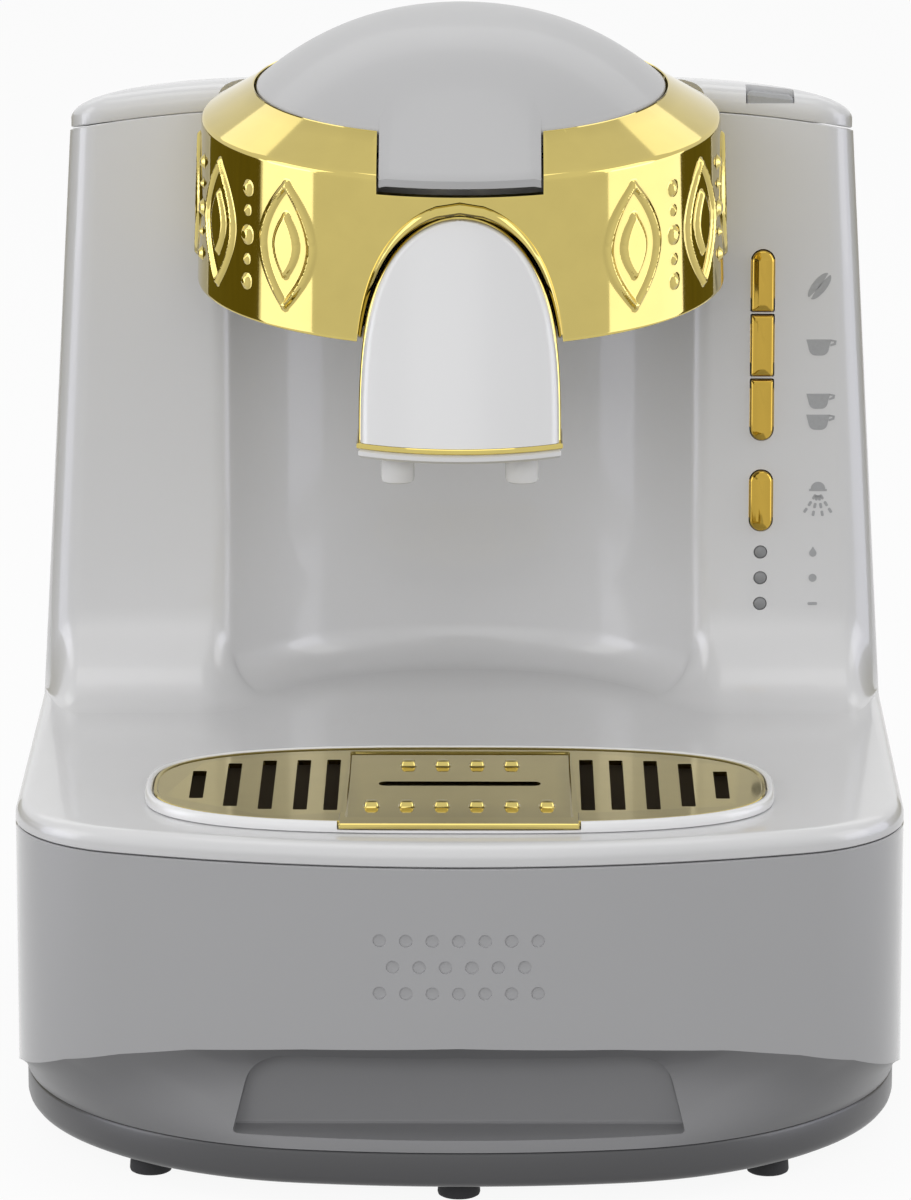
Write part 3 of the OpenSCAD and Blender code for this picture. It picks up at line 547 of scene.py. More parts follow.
def gold_plated_abs(name, rgba):
    """Gold plating on polished ABS: mirror reflections in a pale gold, softened here and there by
    fine polishing haze, with painted shade that makes hollows and creases deeper in colour."""
    material, tree, place = blank_material(name)
    # Pointiness darkens the colour in hollows and creases: painted shade
    crease = add_node(tree, "ShaderNodeNewGeometry").outputs["Pointiness"]
    sockets = {
        "Factor": 1.0,
        "A": drifting(tree, noise(tree, place, 9, 2.0), rgba, 0.94, 1.05),
        "B": spread(tree, crease, 0.72, 1.0, 0.44, 0.52),
    }
    gold_with_painted_shade = add_node(tree, "ShaderNodeMix", sockets, data_type="RGBA", blend_type="MULTIPLY")
    haze = spread(tree, noise(tree, place, 22, 5.0), 0.04, 0.08)
    return shaded(material, {"Base Color": gold_with_painted_shade, "Metallic": 1.0, "Roughness": haze})


def drawn_steel(name, rgba, roughness):
    """Stainless steel drawn and brushed: fine parallel lines 0.3 mm apart, drawn at 0.6 mm, that
    stretch highlights."""
    material, tree, place = blank_material(name)
    stretch = add_node(tree, "ShaderNodeMapping", {"Vector": place, "Scale": (1.0, 1.0, 14.0)})
    lines = noise(tree, stretch, 8, 4.0)
    sockets = {
        "Base Color": rgba,
        "Metallic": 1.0,
        "Roughness": spread(tree, lines, roughness - 0.07, roughness + 0.09),
        "Normal": bump(tree, lines, 0.12, 0.1),
    }
    return shaded(material, sockets)


def moulded_rubber(name, rgba, roughness=0.78):
    """Moulded rubber: nearly black, matt and slightly dusty, with a dull skin grain of 0.7 mm."""
    material, tree, place = blank_material(name)
    sockets = {
        "Base Color": drifting(tree, noise(tree, place, 9, 3.0), rgba, 0.75, 1.35),
        "Roughness": roughness,
        "Normal": bump(tree, noise(tree, place, 0.7, 2.0), 0.3, 0.2),
    }
    return shaded(material, sockets)


def clear_san(name, rgba):
    """Clear moulded SAN: water-clear with a cool tint, broad flow lines and a hard gloss."""
    material, tree, place = blank_material(name)
    flow = noise(tree, place, 30, 2.0)
    sockets = {
        "Base Color": rgba,
        "Roughness": spread(tree, flow, 0.02, 0.09),
        "Normal": bump(tree, flow, 0.15, 1.0),
        "IOR": 1.57,
        "Transmission Weight": 0.85,
    }
    return shaded(material, sockets)


def board_laminate(name, rgba):
    """Glass-fibre circuit board: green solder mask with tracks that show as paler steps."""
    material, tree, place = blank_material(name)
    cells = {"Vector": place, "Scale": 1 / (5 * MM)}
    tracks = add_node(tree, "ShaderNodeTexVoronoi", cells, distance="MANHATTAN")
    step = spread(tree, tracks, 0.0, 1.0, 0.35, 0.45)
    sockets = {
        "Base Color": drifting(tree, step, rgba, 0.7, 1.5),
        "Roughness": 0.35,
        "Normal": bump(tree, step, 0.3, 0.1),
    }
    return shaded(material, sockets)


# The maker of each finish, its material's name, its colour as a setting's name or as sRGB hex,
# and what else the maker takes
MAKERS = {
    "shell": (moulded_abs, "glossy_white_abs", "shell", 0.30, 0.6),
    "base": (moulded_abs, "glossy_grey_abs", "base", 0.30, 1.0),
    # Painted shade: the dark brown inside of the drip tray
    "basin": (moulded_abs, "satin_dark_basin_abs", "basin", 0.5, 0.05),
    # Painted shade: the base's grey made darker in the undercut
    "lower": (moulded_abs, "satin_grey_lower_abs", "lower", 0.42, 0.1),
    "pan": (moulded_abs, "satin_grey_abs", "pan", 0.38, 0.15),
    "lid": (moulded_abs, "satin_pale_abs", "lid", 0.36, 0.2),
    "spout": (moulded_abs, "glossy_bright_abs", "spout", 0.24),
    "lens": (lamp_lens, "satin_lamp_lens", "tab", 0.3),
    "tab": (textured_abs, "grained_grey_abs", "tab"),
    "marks": (textured_abs, "printed_grey_ink", "tab"),
    "inner": (textured_abs, "grained_dark_pp", "5A5B5E"),
    "gold": (gold_plated_abs, "gold_plated_abs", "gold"),
    "button": (gold_plated_abs, "deep_gold_plated_abs", "button"),
    "steel": (drawn_steel, "brushed_steel", "BFC0C2", 0.26),
    "rubber": (moulded_rubber, "black_rubber", "2B2B2D"),
    "silicone": (moulded_rubber, "clear_silicone", "C9CAC8", 0.45),
    "tank": (clear_san, "clear_san", "E4EBEE"),
    "board": (board_laminate, "circuit_laminate", "1F5A35"),
}
FINISHES = {}


def finish(name):
    """A finish by name, made when it is first asked for."""
    if name not in FINISHES:
        maker, title, tone, *values = MAKERS[name]
        tones = bpy.context.scene.coffee_maker_colours
        rgba = tuple(getattr(tones, tone)) if hasattr(tones, tone) else linear_rgb(tone)
        FINISHES[name] = maker(title, rgba, *values)
    return FINISHES[name]


# ---- base ----


def undercut_height(x, y):
    """Height where the shell breaks into the undercut: high in front, low at the sides."""
    if y < UNDERCUT_YS[0]:
        return float(np.interp(abs(x), UNDERCUT_XS, UNDERCUT_FRONT))
    return float(np.interp(y, UNDERCUT_YS, UNDERCUT_SIDE))


def shell_rings(inset, cove, low, high):
    """Rings of the base shell from the pan's outline up to the seam."""
    pan, shell = bowed(inset, PAN_CORNER), bowed(inset)
    count, steps, full_rise, straight_z = len(shell), 14, 28, 46
    rings = []
    for k in range(steps + 1):
        t = k / steps
        ring = []
        for i in range(count):
            (px, py), (sx, sy) = pan[i], shell[i]
            (ax, ay), (bx, by) = shell[(i - 1) % count], shell[(i + 1) % count]
            length = math.hypot(bx - ax, by - ay)
            out = ((by - ay) / length, -(bx - ax) / length)
            top = undercut_height(sx, sy)
            hollow = cove * ((top - PAN_TOP) / full_rise) ** 2.4 * math.sin(math.pi * t**1.5)
            x, y = px + (sx - px) * t, py + (sy - py) * t
            ring.append((x - out[0] * hollow, y - out[1] * hollow, low + (top - low) * t))
        rings.append(ring)
    return rings + [at(shell, float(z)) for z in np.linspace(straight_z, high, 6)]


class COFFEEMAKER_OT_base_shell(bpy.types.Operator):
    """Builds the bowed base shell with its coved undercut, finger recess and sounder dimples"""

    bl_idname = "coffee_maker.base_shell"
    bl_label = "Base Shell"

    def execute(self, context):
        sizes = context.scene.coffee_maker_body
        cove, top = sizes.cove / MM, SEAM_Z - sizes.seam / MM / 2
        ahead, recess_y, cavity_y = -140, -116.5, -113.5
        rings = shell_rings(0, cove, PAN_TOP, SEAM_Z - 1.0)
        rings += stepped(bowed, ((0, top - 0.3), (0.35, top)))
        piece = lofted("base_shell_moulding", rings)
        inside = lofted("inside", shell_rings(WALL + cove, 0, PAN_TOP - 3, SEAM_Z + 3))
        block = rounded_box(120, 26, 2, centre=(0, 28))
        carve(inside, prism("block", block, ahead, cavity_y, "Y"))
        carve(piece, inside)
        foot, shoulder, turn = 58, (44, 28), 11
        recess = [(-foot, 18), (foot, 18)] + arc(shoulder, turn, 15, 90, 8)
        recess += arc((-shoulder[0], shoulder[1]), turn, 90, 165, 8)
        carve(piece, soften(prism("recess", recess, ahead, recess_y, "Y"), 1.2))
        dimples = []
        for z, number in ((57.1, 7), (64.0, 6), (70.9, 7)):
            for x in spaced(number, 6.7):
                spot, front = disc((x, z), sizes.dimple / MM, 28), bow_y(x)
                dimples.append(prism("dimple", spot, front - 2, front + 0.8, "Y"))
        carve(piece, merged("dimples", *dimples))
        finished(piece, "root", finish("base"), ("base_shell",), 24)
        # The undercut's faces take the darker grey, which is painted shade
        second_finish(piece, finish("lower"), self.undercut)
        return {"FINISHED"}

    def undercut(self, face):
        x, y, z = (c / MM for c in face.center)
        return z < undercut_height(x, y) - 0.1


class COFFEEMAKER_OT_bottom_pan(bpy.types.Operator):
    """Builds the bottom pan with its rolled lower edge, and the turned rubber feet under it"""

    bl_idname = "coffee_maker.bottom_pan"
    bl_label = "Bottom Pan and Feet"

    def execute(self, context):
        levels = [(4.0, 5.0), (2.4, 5.25), (1.1, 5.9), (0.35, 6.9), (0, 8.2), (0, 14.0)]
        levels += [(0.25, 14.6), (0.6, 14.85), (2.5, 14.85), (2.5, 7.5)]
        rings = stepped(lambda inset: bowed(inset, PAN_CORNER), levels)
        piece = lofted("bottom_pan_moulding", rings)
        finished(piece, "root", finish("pan"), ("bottom_pan",))
        profile = [(0, 0.4), (3.2, 0.4), (3.6, 0), (4.8, 0), (5.3, 0.3), (5.5, 0.9)]
        profile += [(5.2, 5.0), (0, 5.0)]
        places = ((0, -119.5), (-80, -99.5), (80, -99.5), (-84, 106.5), (84, 106.5))
        feet = [turned("foot", profile, 48, place) for place in places]
        finished(merged("rubber_feet", *feet), "root", finish("rubber"), ("feet",))
        return {"FINISHED"}


# ---- deck and tower ----


def deck_plan(inset):
    """The cup deck's plan: the base's bow in front, the niche's floor behind."""
    front = [p for p in bowed_half(inset, SHELL_CORNER) if p[1] < 40.0]
    back, edge = 41.0, front[-1][0]
    niche = arc((0, NICHE_Y), NICHE_R + 1.5, 37.9, 90, 20)[1:]
    return mirrored(front + [(edge, back), (74.5, back), (59.0, back)] + niche)


def tower_front_half(rim):
    """Right half of the tower's front wall in plan at its foot: niche, rounded rim, flat wall,
    corner and side.

    Each entry is x, y, the outward direction, and how much of the deck's blend radius it takes."""
    in_niche, rise = 0.45, WALL_Y + rim - NICHE_Y
    cx = math.sqrt((NICHE_R + rim) ** 2 - rise**2)
    join = math.degrees(math.atan2(rise, cx))
    points = []
    for i in range(41):
        c, s = unit(90 + (join - 90) * i / 40)
        points.append((NICHE_R * c, NICHE_Y + NICHE_R * s, -c, -s, in_niche))
    for i in range(1, 11):
        c, s = unit(join + 180 + (90 - join) * i / 10)
        share = in_niche + (1 - in_niche) * i / 10
        points.append((cx + rim * c, WALL_Y + rim + rim * s, c, s, share))
    corner_x, corner_y = HALF_WIDTH - WALL_CORNER, WALL_Y + WALL_CORNER
    for i in range(1, 13):
        points.append((cx + (corner_x - cx) * i / 12, WALL_Y, 0, -1, 1.0))
    for i in range(1, 15):
        c, s = unit(270 + 90 * i / 14)
        share = max(0.01, -s) ** 1.3
        points.append((corner_x + WALL_CORNER * c, corner_y + WALL_CORNER * s, c, s, share))
    for i in range(1, 9):
        y = corner_y + (SPLIT_Y - 0.15 - corner_y) * i / 8
        points.append((HALF_WIDTH, y, 1, 0, 0.01))
    return points


def taper(x, z):
    """A place on the tower's front wall, drawn in with its height."""
    spread_out = max(0.0, abs(x) - 72) / (HALF_WIDTH - 72)
    return x - math.copysign((HALF_WIDTH - tower_half(z)) * spread_out, x)


def button_outline(k, width, height, z):
    """Rounded at both ends when the button stands alone, else only at the stack's ends."""
    full, small = width / 2 - 0.01, 0.5
    top, foot = (full if k in (0, 3) else small), (full if k in (2, 3) else small)
    return rounded_box(width, height, top, centre=(BUTTON_X, z), foot=foot)


class COFFEEMAKER_OT_front_housing(bpy.types.Operator):
    """Builds the cup deck and the tower's front wall with its niche and button openings"""

    bl_idname = "coffee_maker.front_housing"
    bl_label = "Deck and Tower Front"

    def execute(self, context):
        sizes = context.scene.coffee_maker_body
        self.build_deck(sizes)
        self.build_wall(sizes)
        return {"FINISHED"}

    def build_deck(self, sizes):
        foot, edge = SEAM_Z + sizes.seam / MM / 2, sizes.deck_edge / MM
        levels = [(0.35, foot), (0, foot + 0.3), (0, DECK_Z - edge)]
        for i in range(1, 11):
            c, s = unit(9 * i)
            levels.append((edge * (1 - c), DECK_Z - edge * (1 - s)))
        piece = lofted("cup_deck_moulding", stepped(deck_plan, levels))
        carve(piece, prism("hole", oval(2.2), 80, 110))
        finished(piece, "root", finish("shell"), ("front_housing",), 30)

    def build_wall(self, sizes):
        blend = sizes.blend / MM
        half = tower_front_half(sizes.niche_rim / MM)
        plan = [(-x, y, -nx, ny, w) for x, y, nx, ny, w in reversed(half[1:])] + half

        def flared(point, out, foot_x, z):
            """A point moved outwards, but never sideways at the tower's outer corners."""
            x, y, nx, ny, _ = point
            return (foot_x + (nx * out if abs(x) < 90 else 0.0), y + ny * out, z)

        rings = [[flared(point, blend * point[4], point[0], SEAM_Z + 0.3) for point in plan]]
        for k in range(13):
            c, s = unit(7.5 * k)
            ring = []
            for point in plan:
                sweep = blend * point[4]
                z = DECK_Z + sweep * (1 - c)
                ring.append(flared(point, sweep * (1 - s), taper(point[0], z), z + 0.01 * k))
            rings.append(ring)
        for k in range(1, 9):
            ring = []
            for x, y, nx, ny, w in plan:
                low, high = DECK_Z + blend * w + 0.2, top_at(y, taper(x, TOWER_TOP)) - 0.3
                z = low + (high - low) * k / 8
                ring.append((taper(x, z), y, z))
            rings.append(ring)
        edge = []
        for x, y, nx, ny, w in plan:
            z = top_at(y, taper(x, TOWER_TOP))
            edge.append((taper(x, top_at(y)) - nx * 0.3, y - ny * 0.3, z))
        rings.append(edge)
        skin = lofted("tower_front_moulding", rings, caps=False, closed=False)
        piece = thickened(skin, even=True)
        openings = [button_outline(k, 6.6, 17.3, z) for k, z in enumerate(BUTTON_ZS)]
        openings += [disc((BUTTON_X, z), 1.85, 24) for z in LIGHT_ZS]
        carve(piece, prisms("openings", openings, WALL_Y - 8, WALL_Y + 6, "Y"))
        finished(piece, "root", finish("shell"), ("front_housing",), 30)


class COFFEEMAKER_OT_rear_cover(bpy.types.Operator):
    """Builds the tower's rear cover with its vents, screw wells and cord hole"""

    bl_idname = "coffee_maker.rear_cover"
    bl_label = "Rear Cover"

    def execute(self, context):
        foot, join = SEAM_Z + 0.3, SPLIT_Y + 0.15

        def fallen(z, y, x=0.0):
            """A height of the level cover, lowered with the tower's top."""
            return SEAM_Z + (z - SEAM_Z) * (top_at(y, x) - SEAM_Z) / (TOWER_TOP - SEAM_Z)

        def half_plan(z, inset):
            half, rr = tower_half(fallen(z, 108)) - inset, REAR_CORNER - inset
            back = REAR_Y - inset
            return (
                [(half, join)]
                + line((half, join), (half, back - rr), 2)
                + arc((half - rr, back - rr), rr, 0, 90, 24)[1:]
                + line((half - rr, back), (0, back), 8)
            )

        rings = []
        for z in [foot] + list(np.linspace(SEAM_Z + 2, TOWER_TOP - 0.3, 8)) + [TOWER_TOP]:
            half = half_plan(z, 0.3 if z in (foot, TOWER_TOP) else 0)
            outline = half + [(-x, y) for x, y in reversed(half[:-1])]
            rings.append([(x, y, fallen(z, y, x)) for x, y in outline])
        piece = thickened(lofted("rear_cover_moulding", rings, caps=False, closed=False))
        screws = [(s * 78, z) for s in (-1, 1) for z in (110, 217)]
        bosses = [disc(place, 4.5) for place in screws]
        carve(piece, prisms("bosses", bosses, REAR_Y - 8, REAR_Y - 1, "Y"), "UNION")
        inner, outer = 120, 140
        vents = [rounded_box(2, 26, 0.9, centre=(-49 + 5 * i, 111)) for i in range(9)]
        vents = prisms("vents", vents, inner, outer, "Y")
        wells = prisms("wells", [disc(place, 3.2) for place in screws], REAR_Y - 3.2, outer, "Y")
        cord_hole = prism("cord_hole", disc((55, 104), 6.1, 40), inner, outer, "Y")
        carve(piece, merged("cuts", vents, wells, cord_hole))
        finished(piece, "root", finish("shell"), ("rear_cover",), 30)
        return {"FINISHED"}


class COFFEEMAKER_OT_tank_lid(bpy.types.Operator):
    """Builds the water tank's crowned lid with its niche, hinge slots and grained tab"""

    bl_idname = "coffee_maker.tank_lid"
    bl_label = "Tank Lid and Tab"

    def outline(self, inset):
        """The tower's plan at its top, whose front edge draws in more slowly."""
        half, y0, y1 = TOWER_TOP_HALF - inset, WALL_Y + inset * 0.6, REAR_Y - inset
        fr, rr = max(WALL_CORNER - inset, 3), max(REAR_CORNER - inset, 8)
        return mirrored(
            [(0, y0)]
            + line((0, y0), (half - fr, y0), 10)
            + arc((half - fr, y0 + fr), fr, 270, 360, 14)[1:]
            + line((half, y0 + fr), (half, y1 - rr), 10)
            + arc((half - rr, y1 - rr), rr, 0, 90, 20)[1:]
            + line((half - rr, y1), (0, y1), 10)
        )

    def execute(self, context):
        levels = [(0.35, 257.3), (0, 257.7), (0, 260.2), (0.25, 261.0), (0.9, 261.9), (2, 262.8)]
        levels += [(3.5, 263.5), (6, 264.3), (10, 265.0), (15, 265.5), (22, 265.8), (30, 266.0)]
        rings = [falling(ring) for ring in stepped(self.outline, levels)]
        piece = lofted("tank_lid_moulding", rings)
        niche_r = NICHE_R + 1.2
        niche = [(0, 240), (niche_r, 240), (niche_r, 290), (0, 290)]
        carve(piece, turned("niche", niche, 180, (0, NICHE_Y)))
        slots = [rounded_box(8.6, 16, 0.5, centre=(s * 45, 130)) for s in (-1, 1)]
        pin_y, pin_z, low, above = 128, top_at(128) + 4.7, 225, 280
        tab_gap = prism("tab_gap", rounded_box(13, 18, 1.2, centre=(83, 29)), 259, above)
        carve(piece, merged("cuts", prisms("slots", slots, low, above), tab_gap))
        corner = [(pin_y, low)] + arc((pin_y, pin_z), 4.4, -90, 0, 12) + [(150, pin_z), (150, low)]
        carve(piece, prism("corner", corner, -130, 130, "X"))
        finished(piece, "tank_cover", finish("shell"), ("tank_lid",), 30)

        def tab_outline(inset):
            size, middle = (12.8 - 2 * inset, 7.4 - 1.6 * inset), (83, 34.1 + 0.3 * inset)
            return rounded_box(*size, 1.2, centre=middle)

        levels = ((0.25, 259.1), (0, 259.4), (0, 262.4), (0.5, 263.3), (1.5, 263.9))
        rings = [falling(ring) for ring in stepped(tab_outline, levels)]
        tab = lofted("tank_lid_tab_moulding", rings)
        finished(tab, "tank_cover", finish("tab"), ("tank_lid_tab",))
        return {"FINISHED"}


# ---- brewing head ----


def leaf_relief(angle, height, pitch):
    """Height from 0 to 1 of the raised pattern: a pointed oval round a bud, and a column of pearls
    between two.

    Angle is in degrees from the front, height in millimetres. The front is plain by the spout."""
    plain, middle, line_width = 28, 22.5, 1.5
    side = np.abs((angle + 180) % 360 - 180)
    cell = np.floor((side - plain) / pitch)
    arm = math.radians(1) * RING_R
    u = (side - plain - (cell + 0.5) * pitch) * arm
    v = height - middle
    tall = np.abs(v)

    def pointed(half_wide, half_high):
        """Half width at this height of an oval with points above and below."""
        return half_wide * (1 - np.clip(tall / half_high, 0, 1) ** 1.8)

    leaf_h, bud_h = 16, 7.5
    leaf = np.abs(np.abs(u) - pointed(8.4, leaf_h)) * 0.88
    leaf = np.where(tall > leaf_h, np.hypot(u, tall - leaf_h), leaf)
    bud = np.clip(np.abs(u) - pointed(3.2, bud_h), 0, None)
    bud = np.where(tall > bud_h, np.hypot(u, tall - bud_h), bud)
    edge = pitch / 2 * arm - np.abs(u)
    upper = np.minimum(np.hypot(edge, tall - 6.5), np.hypot(edge, tall - 12.4) - 0.7)
    pearls = np.minimum(np.hypot(edge, v) - 1.1, upper)
    near = np.minimum(np.minimum(leaf, bud), np.clip(pearls, 0, None))
    raised = 0.5 + 0.5 * np.cos(math.pi * np.clip(near / line_width, 0, 1))
    return raised * np.clip(side - plain - 2.5, 0, 1)


def spout_outline(half, height, foot):
    """Front outline of the spout: nearly straight sides under a rounded top."""
    right = [(half * math.sqrt(1 - t**3), foot + height * t) for t in np.linspace(0, 1, 60)]
    return right + [(-x, z) for x, z in reversed(right[:-1])]


class COFFEEMAKER_OT_head_band(bpy.types.Operator):
    """Builds the gold band of the brewing head, with its raised pattern, bevel, notch and arch"""

    bl_idname = "coffee_maker.head_band"
    bl_label = "Gold Band"

    def execute(self, context):
        band = in_head(self.band(context.scene.coffee_maker_trim))
        # The tongue's notch, the hinge's gap and the seat against the tower
        for width, depth, corner, y, low, high in (
            (42.8, 70, 0.6, -40, 39.5, 90),
            (44, 60, 1, 60, 40, 90),
            (70, 60, 1, 50, -5, 45),
        ):
            cutter = prism("cut", rounded_box(width, depth, corner, centre=(0, y)), low, high)
            carve(band, in_head(cutter))
        arch = spout_outline(SPOUT_HALF + 1.4, 60, SPOUT_Z - 0.01)
        carve(band, prism("arch", arch, -130, -58, "Y"))
        piece = merged("head_band_plating", band, self.collar())
        finished(piece, "root", finish("gold"), ("head_ring",), 38)
        return {"FINISHED"}

    def band(self, sizes):
        """The whole ring, whose outside carries the pattern, in the head's own frame."""
        steps, rows = 1080, 90
        angles = np.arange(steps) * 360 / steps
        relief = sizes.relief / MM if sizes.engraved else 0
        rings = [[(r, z)] * steps for z, r in ((0.5, 67.7), (0.1, 68.2), (0, 69.5), (0.25, 69.9))]
        for k in range(rows + 1):
            z = 0.6 + (RING_H - 1.0) * k / rows
            r = RING_R + (RING_TOP_R - RING_R) * z / RING_H
            fade = max(0.0, min(1, (z - 0.6) / 2, (RING_H - 0.4 - z) / 2))
            lift = leaf_relief(angles, np.full(steps, z), sizes.pitch) * relief
            rings.append([(r + fade * float(h), z) for h in lift])
        top = [
            (RING_TOP_R - 0.15 + (LID_R - RING_TOP_R) * t, RING_H + 0.1 + (BEVEL_H - 0.1) * t)
            for t in (0.02, 0.05, 0.12, 0.3, 0.5, 0.7, 0.88, 0.96)
        ]
        top += [(54.9, 52.45), (54.6, 52.3), (54.5, 50.6), (57.4, 49.2), (65.9, 43.0), (67.4, 8.0)]
        rings += [[place] * steps for place in top] + rings[:1]
        turns = [unit(a) for a in angles]
        points = [[(r * s, -r * c, z) for (c, s), (r, z) in zip(turns, ring)] for ring in rings]
        return lofted("head_band_plating", points, caps=False)

    def collar(self):
        """The rolled edge that lines the arch over the spout, without the arch's straight foot."""
        rings, foot = [], 25
        for half, height, back in (
            (27.7, 61.0, 0.4),
            (27.5, 60.7, -0.3),
            (27.1, 59.8, -0.8),
            (26.7, 58.7, -0.4),
            (26.4, 57.7, 1.4),
            (26.3, 57.5, 7.0),
        ):
            ring = []
            for x, z in spout_outline(half, height, SPOUT_Z)[foot:-foot]:
                front = HEAD_Y - math.sqrt(RING_R**2 - x * x) - math.tan(HEAD_TILT) * (z - HEAD_Z)
                ring.append((x, front + back, z))
            rings.append(ring)
        return lofted("collar", rings, caps=False, closed=False)


class COFFEEMAKER_OT_head_lid(bpy.types.Operator):
    """Builds the domed lid of the brewing head with its front tongue, skirt and hinge knuckle"""

    bl_idname = "coffee_maker.head_lid"
    bl_label = "Head Lid"

    edge_z, edge_r, thick = RING_H + BEVEL_H - 0.2, LID_R - 0.5, 2.5

    def dome(self, r):
        """Height of the lid's upper face at a radius."""
        return self.edge_z + (DOME_H - 0.25) * (1 - (r / self.edge_r) ** DOME_POWER)

    def execute(self, context):
        dome, z, r = self.dome, self.edge_z, self.edge_r
        profile = [(0, dome(0))] + [(q, dome(q)) for q in np.linspace(1.5, r - 0.6, 40)]
        profile += [(r - 0.2, z + 0.15), (r, z - 0.5), (r - 0.2, z - 1.2), (52.0, z - 1.4)]
        profile += [(52.0, 47.6), (51.7, 47.3), (50.3, 47.3), (50.0, 47.6), (50.0, z - 1)]
        profile += [(q, dome(q) - self.thick) for q in np.linspace(48, 2, 16)]
        profile.append((0, dome(0) - self.thick))
        cap = turned("cap", [(float(q), float(h)) for q, h in profile], 180)
        knuckle = prism("knuckle", disc(HINGE, 3.5), -15, 15, "X")
        web = prism("web", [(49.3, 48.2), (57, 48.0), (57, 52.2), (50, 52.3)], -15, 15, "X")
        carve(carve(knuckle, web, "UNION"), prism("bore", disc(HINGE, 1.6, 24), -20, 20, "X"))
        piece = in_head(merged("head_lid_moulding", cap, self.tongue(), knuckle))
        finished(piece, "lid", finish("lid"), ("lid_dome",), 36)
        return {"FINISHED"}

    def tongue(self):
        """The tongue leaves the dome along its own slope and runs down over the bevel."""
        half, columns, steps, start, end = TONGUE_HALF - 0.2, 24, 20, 44.0, 68.25
        slope = -DOME_POWER * DOME_H * start ** (DOME_POWER - 1) / self.edge_r**DOME_POWER
        rows = []
        for k in range(steps + 1):
            r = start + (end - start) * k / steps
            over = r - start
            z = self.dome(start) + slope * over + 0.0006 * over**2 - 0.02 + 0.05 * min(1, over / 3)
            row = []
            for i in range(columns + 1):
                x = -half + 2 * half * i / columns
                side = max(0.0, abs(x) / half - 0.94) / 0.06
                tip = max(0.0, (r - 67.2) / 1.05)
                row.append((x, -math.sqrt(r * r - x * x), z - 0.5 * side**2 - 0.7 * tip**2))
            rows.append(row)
        under = [[(x, y, z - 2.0) for x, y, z in row] for row in rows]
        rows.append([(x, y, z - 0.9) for x, y, z in rows[-1]])
        return self.closed_strip(rows + under[::-1])

    def closed_strip(self, rows):
        """A closed skin from rows that run round the strip."""
        count, total = len(rows[0]), len(rows)
        strip = ring_faces(count, total + 1, closed=False)
        faces = [tuple(v % (count * total) for v in face) for face in strip]
        faces += [tuple(k * count + i for k in range(total)) for i in (0, count - 1)]
        return mesh_object("tongue", [p for row in rows for p in row], faces)


